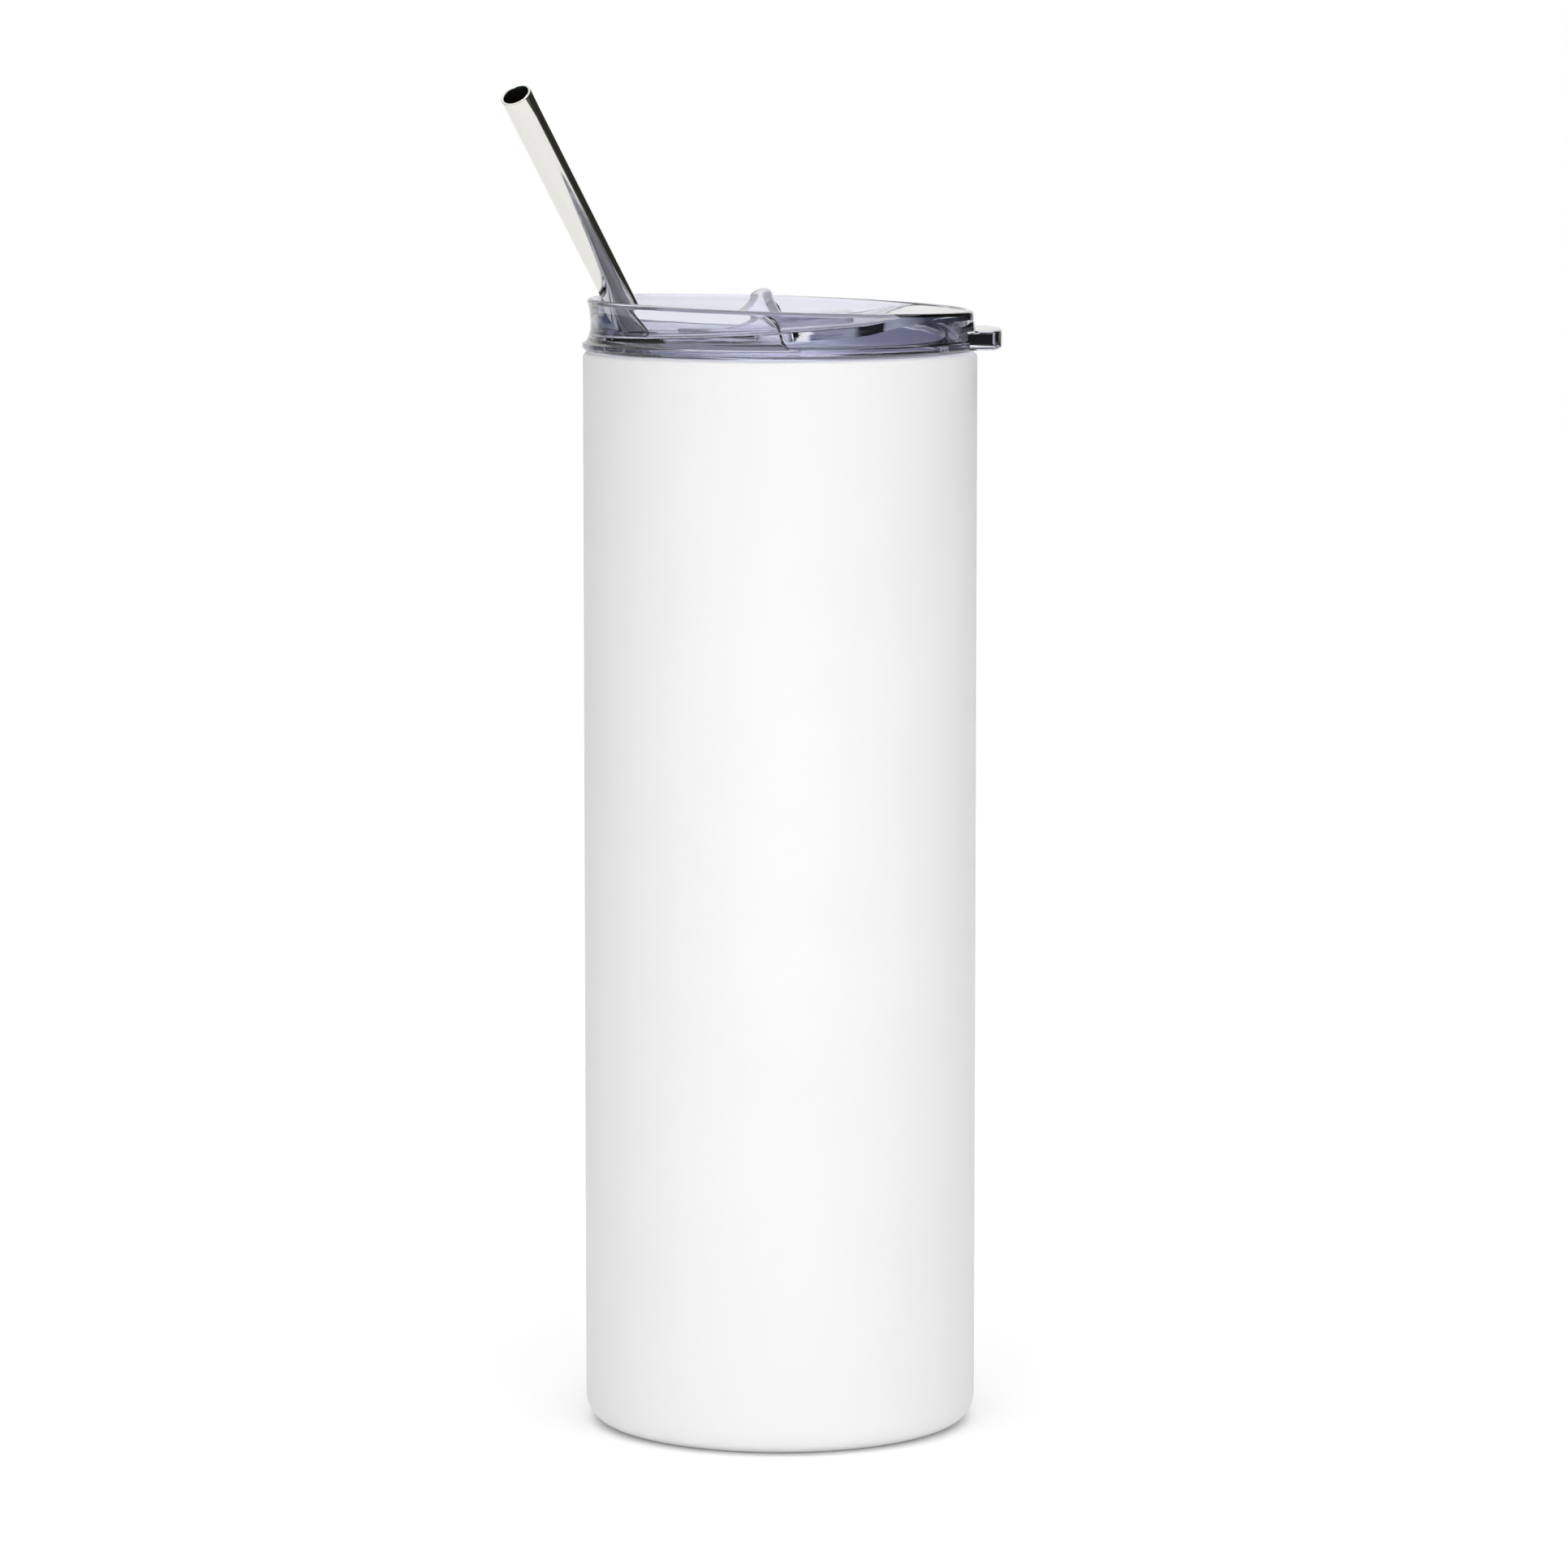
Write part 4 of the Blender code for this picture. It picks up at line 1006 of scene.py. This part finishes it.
# %% Clip under the floor
CLIP_LENGTH = 9.0 * MM
CLIP_WIDTH = 11.0 * MM
CLIP_ROUND = 1.5 * MM
clip_left, clip_right = PEG_PLACE - CLIP_LENGTH / 2, PEG_PLACE + CLIP_LENGTH / 2
outline = plate_outline(clip_left, clip_right, CLIP_WIDTH / 2, CLIP_ROUND, CLIP_ROUND)
clip_low = clip_top - CLIP_THICK
clip = prism("slider_clip", outline, clip_low, clip_top, clear_slider, SMALL_EDGE, segments=2)
settle(clip)
outline = plate_outline(peg_left - GAP, peg_right + GAP, PEG_WIDTH / 2 + GAP, PEG_ROUND, PEG_ROUND)
eye = prism("eye", outline, clip_top - 2 * CLIP_THICK, clip_top + CLIP_THICK, clear_slider)
join(clip, eye, "DIFFERENCE")
clip.data.transform(onto_floor)
even(clip)
dress(clip, "slider", "clear_retainer", "slider_retainer")

# %% [markdown]
# ## The straw
# The straw is a tube on a path: straight up from the bottom of the cup, a bend in the lid's well, and a
# leg that leans out. Geometry Nodes carries a circle along the path, and stores for every point its
# place on the ring and its run along the path: the steel's hair lines need them. Solidify gives the
# wall, and a small bevel rounds the cut ends.

# %% Build the tube tree
tubing, given = new_tree("tube_on_path")
route = add(tubing, "GeometryNodeMeshToCurve", {"Mesh": given["Geometry"]})
length = add(tubing, "GeometryNodeSplineParameter", {})
marked = add(tubing, "GeometryNodeStoreNamedAttribute", {
    "data_type": "FLOAT", "Name": "run",
    "Geometry": route.outputs["Curve"], "Value": length.outputs["Length"],
})
circle = add(tubing, "GeometryNodeCurvePrimitiveCircle", {
    "Resolution": given["Steps"], "Radius": given["Radius"],
})
spot = add(tubing, "GeometryNodeInputPosition", {})
ringed = add(tubing, "GeometryNodeStoreNamedAttribute", {
    "data_type": "FLOAT_VECTOR", "Name": "ring",
    "Geometry": circle.outputs["Curve"], "Value": spot.outputs[0],
})
swept = add(tubing, "GeometryNodeCurveToMesh", {
    "Curve": marked.outputs["Geometry"], "Profile Curve": ringed.outputs["Geometry"],
})
end_tree(tubing, swept.outputs["Mesh"], given["Finish"])

# %% [markdown]
# The path is three runs of points: the stem, the arc of the bend and the leg. The arc's centre follows
# from the corner where stem and leg would meet if the straw were folded sharply.

# %% Path of the straw
BEND_RISE = 3.1 * MM
BEND_RADIUS = 12.0 * MM
LEAN = math.radians(40.8)
HEADING = math.radians(237.1)
MOUTH_LEG = 58.6 * MM
TRIM = 0.1 * MM
STEM_POINTS = 40
BEND_POINTS = 33
LEG_POINTS = 12
up = Vector((0.0, 0.0, 1.0))
out = Vector((math.cos(HEADING), math.sin(HEADING), 0.0))
stand = Vector((STRAW_PLACE, 0.0, 0.0))
corner = stand + up * (LID_SEAT + BEND_RISE)
centre = corner - up * (BEND_RADIUS * math.tan(LEAN / 2)) + out * BEND_RADIUS
stem = np.linspace(straw_low.z + TRIM, centre.z, STEM_POINTS, endpoint=False)
path = [stand + up * height for height in stem]
for angle in np.linspace(0.0, LEAN, BEND_POINTS):
    path.append(centre + BEND_RADIUS * (up * math.sin(angle) - out * math.cos(angle)))
lean = up * math.cos(LEAN) + out * math.sin(LEAN)
tail = corner + lean * (MOUTH_LEG - TRIM)
path += [path[-1].lerp(tail, share) for share in spread(0.0, 1.0, LEG_POINTS)]
print("points on the straw's path:", len(path))

# %% Draw the straw
STRAW_RADIUS = 2.85 * MM
STRAW_WALL = 0.45 * MM
STRAW_SIDES = 64
END_ROUND = 0.12 * MM
END_STEPS = 3
END_CORNER = math.radians(60)
links = [(index, index + 1) for index in range(len(path) - 1)]
straw = from_points("bent_straw", path, links, [])
run_tree(straw, tubing, STRAW_RADIUS, STRAW_SIDES, drawn_steel)
wall = straw.modifiers.new("wall", "SOLIDIFY")
wall.thickness = STRAW_WALL
wall.offset = -1.0
wall.use_rim = True
bevel(straw, END_ROUND, END_STEPS, END_CORNER)
settle(straw)
dress(straw, "straw", "polished_steel", "straw")

# %% [markdown]
# ## The stage
# The object stands on a white sweep, so the camera sees white all round. Light that metal mirrors or
# clear plastic bends finds the same white behind the object and above it. Elsewhere it finds a dim
# room, which gives plastic and metal their dark lines. For the soft light on the cup, the world is a
# weak white.

# %% World
AMBIENT = 0.24
ROOM = 0.1
BEHIND = (0.70, 0.85)
ABOVE = (0.3, 0.6)
WHITE = srgb("#FFFFFF")


def rays(tree, *kinds):
    """1 for rays of the named kinds, and 0 for all others."""
    ray = add(tree, "ShaderNodeLightPath", {})
    seen = ray.outputs[kinds[0]]
    for kind in kinds[1:]:
        either = add(tree, "ShaderNodeMath", {"operation": "MAXIMUM", 0: seen, 1: ray.outputs[kind]})
        seen = either.outputs[0]
    return seen


world = bpy.data.worlds.new("white_sweep")
bpy.context.scene.world = world
world.use_nodes = True
tree = world.node_tree
tree.nodes.clear()
soft = add(tree, "ShaderNodeBackground", {"Color": WHITE, "Strength": AMBIENT})
heading = add(tree, "ShaderNodeTexCoord", {})
axis = add(tree, "ShaderNodeSeparateXYZ", {"Vector": heading.outputs["Generated"]})
behind = add(tree, "ShaderNodeMapRange", {
    "Value": axis.outputs["Y"], "From Min": BEHIND[0], "From Max": BEHIND[1],
    "To Min": ROOM, "To Max": 1.0,
})
above = add(tree, "ShaderNodeMapRange", {
    "Value": axis.outputs["Z"], "From Min": ABOVE[0], "From Max": ABOVE[1],
    "To Min": ROOM, "To Max": 1.0,
})
sweep = add(tree, "ShaderNodeMath", {
    "operation": "MAXIMUM", 0: behind.outputs[0], 1: above.outputs[0],
})
strength = add(tree, "ShaderNodeMath", {
    "operation": "MAXIMUM", 0: sweep.outputs[0], 1: rays(tree, "Is Camera Ray"),
})
white = add(tree, "ShaderNodeBackground", {"Color": WHITE, "Strength": strength.outputs[0]})
seen = rays(tree, "Is Camera Ray", "Is Glossy Ray", "Is Transmission Ray")
mixed = add(tree, "ShaderNodeMixShader", {0: seen, 1: soft.outputs[0], 2: white.outputs[0]})
add(tree, "ShaderNodeOutputWorld", {"Surface": mixed.outputs[0]})
print("ambient light", AMBIENT)

# %% [markdown]
# Softboxes add the rest of the light: one near the camera, so that the cup's sides turn a little darker
# than its middle, and two overhead, one for the floor and the cup and one for the steel behind the lid.

# %% Softboxes
FRONT_PLACE = (0.07, -1.6, 0.40)
FRONT_TARGET = (0.0, 0.0, 0.10)
FRONT_SIZE = (1.6, 1.35)
FRONT_POWER = 12.9
OVERHEAD_PLACE = (0.0, 0.0, 1.8)
OVERHEAD_TARGET = (0.0, 0.0, 0.0)
OVERHEAD_SIZE = (2.4, 2.4)
OVERHEAD_POWER = 35.0
THROUGH_POWER = 60.0


def softbox(name, place, target, size, power):
    """Flat lamp that lights the set but isn't mirrored or seen through the plastic."""
    light = bpy.data.lights.new(name, "AREA")
    light.shape = "RECTANGLE"
    light.size, light.size_y = size
    light.energy = power
    light.cycles.use_multiple_importance_sampling = False
    lamp = bpy.data.objects.new(name, light)
    lamp.location = place
    lamp.rotation_euler = (Vector(target) - Vector(place)).to_track_quat("-Z", "Y").to_euler()
    lamp.visible_transmission = False
    bpy.context.scene.collection.objects.link(lamp)
    return lamp


over = (OVERHEAD_PLACE, OVERHEAD_TARGET, OVERHEAD_SIZE)
front = softbox("front_softbox", FRONT_PLACE, FRONT_TARGET, FRONT_SIZE, FRONT_POWER)
overhead = softbox("overhead_softbox", *over, OVERHEAD_POWER)
through_lid = softbox("overhead_through_lid", *over, THROUGH_POWER)
print("lamps:", front.name, overhead.name, through_lid.name)

# %% [markdown]
# Clear plastic casts almost no shadow, but a renderer finds light behind it only by luck. So the front
# lamp is told to pass the clear pieces, and the steel behind the lid has an overhead lamp of its own,
# which passes them too. The lid still shades the cup's shoulder.

# %% Link the lamps to pieces
def linked(name, pieces, state):
    """Collection of pieces that a lamp includes or leaves out."""
    group = bpy.data.collections.new(name)
    for index, piece in enumerate(pieces):
        group.objects.link(piece)
        group.collection_objects[index].light_linking.link_state = state
    return group


behind_lid = (liner, clip, seal)
clear = linked("clear_pieces", (lid, slider, clip, seal), "EXCLUDE")
front.light_linking.blocker_collection = clear
through_lid.light_linking.blocker_collection = clear
through_lid.light_linking.receiver_collection = linked("behind_plastic", behind_lid, "INCLUDE")
overhead.light_linking.receiver_collection = linked("in_the_open", behind_lid, "EXCLUDE")

# %% [markdown]
# Clear plastic on white is almost invisible. Photographers hang dark cloth round such a set, with a
# window behind the object: straight through, the plastic shows the white window, and wherever it bends
# light, the cloth. The tone of the cloth changes from side to side, and from below a seam to above it,
# so that each wall of the lid finds a tone of its own.

# %% Tones of the cloth, from left to right
CURTAIN_RADIUS = 0.6
UPPER_CLOTH = [
    (-0.58, "#33363F"), (-0.36, "#4A4D5C"), (-0.28, "#C4C6D4"), (-0.16, "#C4C6D4"), (-0.125, "#55608A"),
    (-0.06, "#3E4A78"), (0.0, "#0A0B0F"), (0.28, "#0A0B0F"), (0.42, "#50525C"),
]
LOWER_CLOTH = [
    (-0.58, "#33363F"), (-0.36, "#4A4D5C"), (-0.27, "#A6AABA"), (-0.235, "#A6AABA"), (-0.225, "#1A1B22"),
    (-0.165, "#1A1B22"), (-0.15, "#A0A3B4"), (-0.06, "#A0A3B4"), (0.0, "#0A0B0F"), (0.28, "#0A0B0F"),
    (0.42, "#50525C"),
]
CLOTH_SEAM = (0.215, 0.24)
DULL = {"Roughness": 1.0, "Specular IOR Level": 0.0}
cloth, tree, shader, place = new_finish("curtain_cloth", DULL)
axis = add(tree, "ShaderNodeSeparateXYZ", {"Vector": place})
across = add(tree, "ShaderNodeMapRange", {
    "Value": axis.outputs["X"], "From Min": -CURTAIN_RADIUS, "From Max": CURTAIN_RADIUS,
})
bands = []
for colours in (LOWER_CLOTH, UPPER_CLOTH):
    band = add(tree, "ShaderNodeValToRGB", {"Fac": across.outputs[0]})
    stops = band.color_ramp.elements
    for index, (x, code) in enumerate(colours):
        stop = stops[index] if index < len(stops) else stops.new(1.0)
        stop.position = (x + CURTAIN_RADIUS) / (2 * CURTAIN_RADIUS)
        stop.color = srgb(code)
    bands.append(band.outputs["Color"])
seam = add(tree, "ShaderNodeMapRange", {
    "Value": axis.outputs["Z"], "From Min": CLOTH_SEAM[0], "From Max": CLOTH_SEAM[1],
})
tone = add(tree, "ShaderNodeMix", {
    "data_type": "RGBA", 0: seam.outputs[0], 6: bands[0], 7: bands[1],
})
tree.links.new(tone.outputs[2], shader.inputs["Base Color"])
print("tones below and above the seam:", len(LOWER_CLOTH), len(UPPER_CLOTH))

# %% [markdown]
# The window is where the cloth is clear: between two sides and under a top edge. The edges are soft, so
# that the plastic shows no hard border.

# %% Window in the cloth
WINDOW_LEFT = -0.064
WINDOW_RIGHT = 0.042
WINDOW_TOP = 0.33
SIDE_BLUR = 0.005
TOP_BLUR = 0.03
middle = (WINDOW_LEFT + WINDOW_RIGHT) / 2
half = (WINDOW_RIGHT - WINDOW_LEFT) / 2
shifted = add(tree, "ShaderNodeMath", {"operation": "SUBTRACT", 0: axis.outputs["X"], 1: middle})
aside = add(tree, "ShaderNodeMath", {"operation": "ABSOLUTE", 0: shifted.outputs[0]})
beside = add(tree, "ShaderNodeMapRange", {
    "Value": aside.outputs[0], "From Min": half - SIDE_BLUR, "From Max": half + SIDE_BLUR,
})
above = add(tree, "ShaderNodeMapRange", {
    "Value": axis.outputs["Z"], "From Min": WINDOW_TOP - TOP_BLUR, "From Max": WINDOW_TOP + TOP_BLUR,
})
hung = add(tree, "ShaderNodeMath", {"operation": "MAXIMUM", 0: beside.outputs[0], 1: above.outputs[0]})
tree.links.new(hung.outputs[0], shader.inputs["Alpha"])
print("window", round(2 * half, 3), "m wide")

# %% [markdown]
# The cloth hangs round the back and the sides of the set. It is out of the picture and shows only through
# the plastic. A small black card does the same for the straw, and shows only in mirrors.

# %% Hang the curtain and the card
CURTAIN_HEIGHT = 0.45
CURTAIN_END = math.radians(105)
CURTAIN_FEET = 43
CARD_FEET = [(0.62, -0.02), (0.50, 0.30), (0.20, 0.55)]
CARD_LOW = 0.14
CARD_HIGH = 0.7


def upright(name, feet, low, high, finish):
    """Upright sheet over a line of feet, kept from the camera and from the soft light."""
    count = len(feet)
    corners = [(x, y, low) for x, y in feet] + [(x, y, high) for x, y in feet]
    faces = [(i, i + 1, count + i + 1, count + i) for i in range(count - 1)]
    sheet = from_points(name, corners, [], faces, finish)
    sheet.visible_camera = False
    sheet.visible_diffuse = False
    sheet.visible_shadow = False
    return sheet


feet = [
    (CURTAIN_RADIUS * math.sin(angle), CURTAIN_RADIUS * math.cos(angle))
    for angle in np.linspace(-CURTAIN_END, CURTAIN_END, CURTAIN_FEET)
]
curtain = upright("dark_curtain", feet, 0.0, CURTAIN_HEIGHT, cloth)
curtain.visible_glossy = False

felt, *_ = new_finish("black_card_felt", {**DULL, "Base Color": srgb("#353430")})
card = upright("black_card", CARD_FEET, CARD_LOW, CARD_HIGH, felt)
card.visible_transmission = False
print("curtain", CURTAIN_RADIUS, "m round,", CURTAIN_HEIGHT, "m high")

# %% [markdown]
# ## The floor
# The floor is a white sheet that ends a little before the cup and beside it, where the dim room
# begins. Its own colour takes the cup's shadow. A little glow, for the camera and for mirrored and
# bent light alone, lifts the open floor to white: weak beside the cup, where the shadow is, and
# stronger further away, where the softboxes no longer reach.

# %% Floor
FLOOR_SIDE = 0.9
FLOOR_FRONT = 0.6
FLOOR_BACK = 2.5
GLOW_NEAR = 0.09
GLOW_FAR = 0.72
GLOW_START = 0.3
GLOW_END = 2.6
paper, tree, shader, place = new_finish("white_paper", {
    "Roughness": 0.9, "Specular IOR Level": 0.0, "Base Color": srgb("#FAFAFA"), "Emission Color": WHITE,
})
far = add(tree, "ShaderNodeVectorMath", {"operation": "LENGTH", 0: place})
open_floor = add(tree, "ShaderNodeMapRange", {
    "Value": far.outputs["Value"], "From Min": GLOW_START, "From Max": GLOW_END,
    "To Min": GLOW_NEAR, "To Max": GLOW_FAR,
})
seen = rays(tree, "Is Camera Ray", "Is Glossy Ray", "Is Transmission Ray")
glow = add(tree, "ShaderNodeMath", {"operation": "MULTIPLY", 0: seen, 1: open_floor.outputs[0]})
tree.links.new(glow.outputs[0], shader.inputs["Emission Strength"])
floor = from_points("floor", [
    (-FLOOR_SIDE, -FLOOR_FRONT, 0.0), (FLOOR_SIDE, -FLOOR_FRONT, 0.0),
    (FLOOR_SIDE, FLOOR_BACK, 0.0), (-FLOOR_SIDE, FLOOR_BACK, 0.0),
], [], [(0, 1, 2, 3)], paper)
print("floor glow", GLOW_NEAR, "to", GLOW_FAR)

# %% [markdown]
# ## The camera
# The photograph was taken with a long lens, a little above the lid, and the cup's axis stands a few
# pixels left of the middle. The camera stands on the cup's own axis plane, moved by that much.

# %% Camera
IMAGE_SIDE = 1932
FOCAL_PIXELS = 8135
SENSOR = 36.0
CAMERA_PLACE = (0.72 * MM, -1.223, 0.263)
CAMERA_DIP = math.radians(6.67)
camera_data = bpy.data.cameras.new("camera")
camera_data.sensor_width = SENSOR
camera_data.lens = FOCAL_PIXELS / IMAGE_SIDE * SENSOR
camera = bpy.data.objects.new("camera", camera_data)
camera.location = CAMERA_PLACE
camera.rotation_euler = (math.pi / 2 - CAMERA_DIP, 0.0, 0.0)
bpy.context.scene.collection.objects.link(camera)
bpy.context.scene.camera = camera
bpy.context.scene.view_settings.view_transform = "Standard"
print(f"lens {camera_data.lens:.1f} mm")
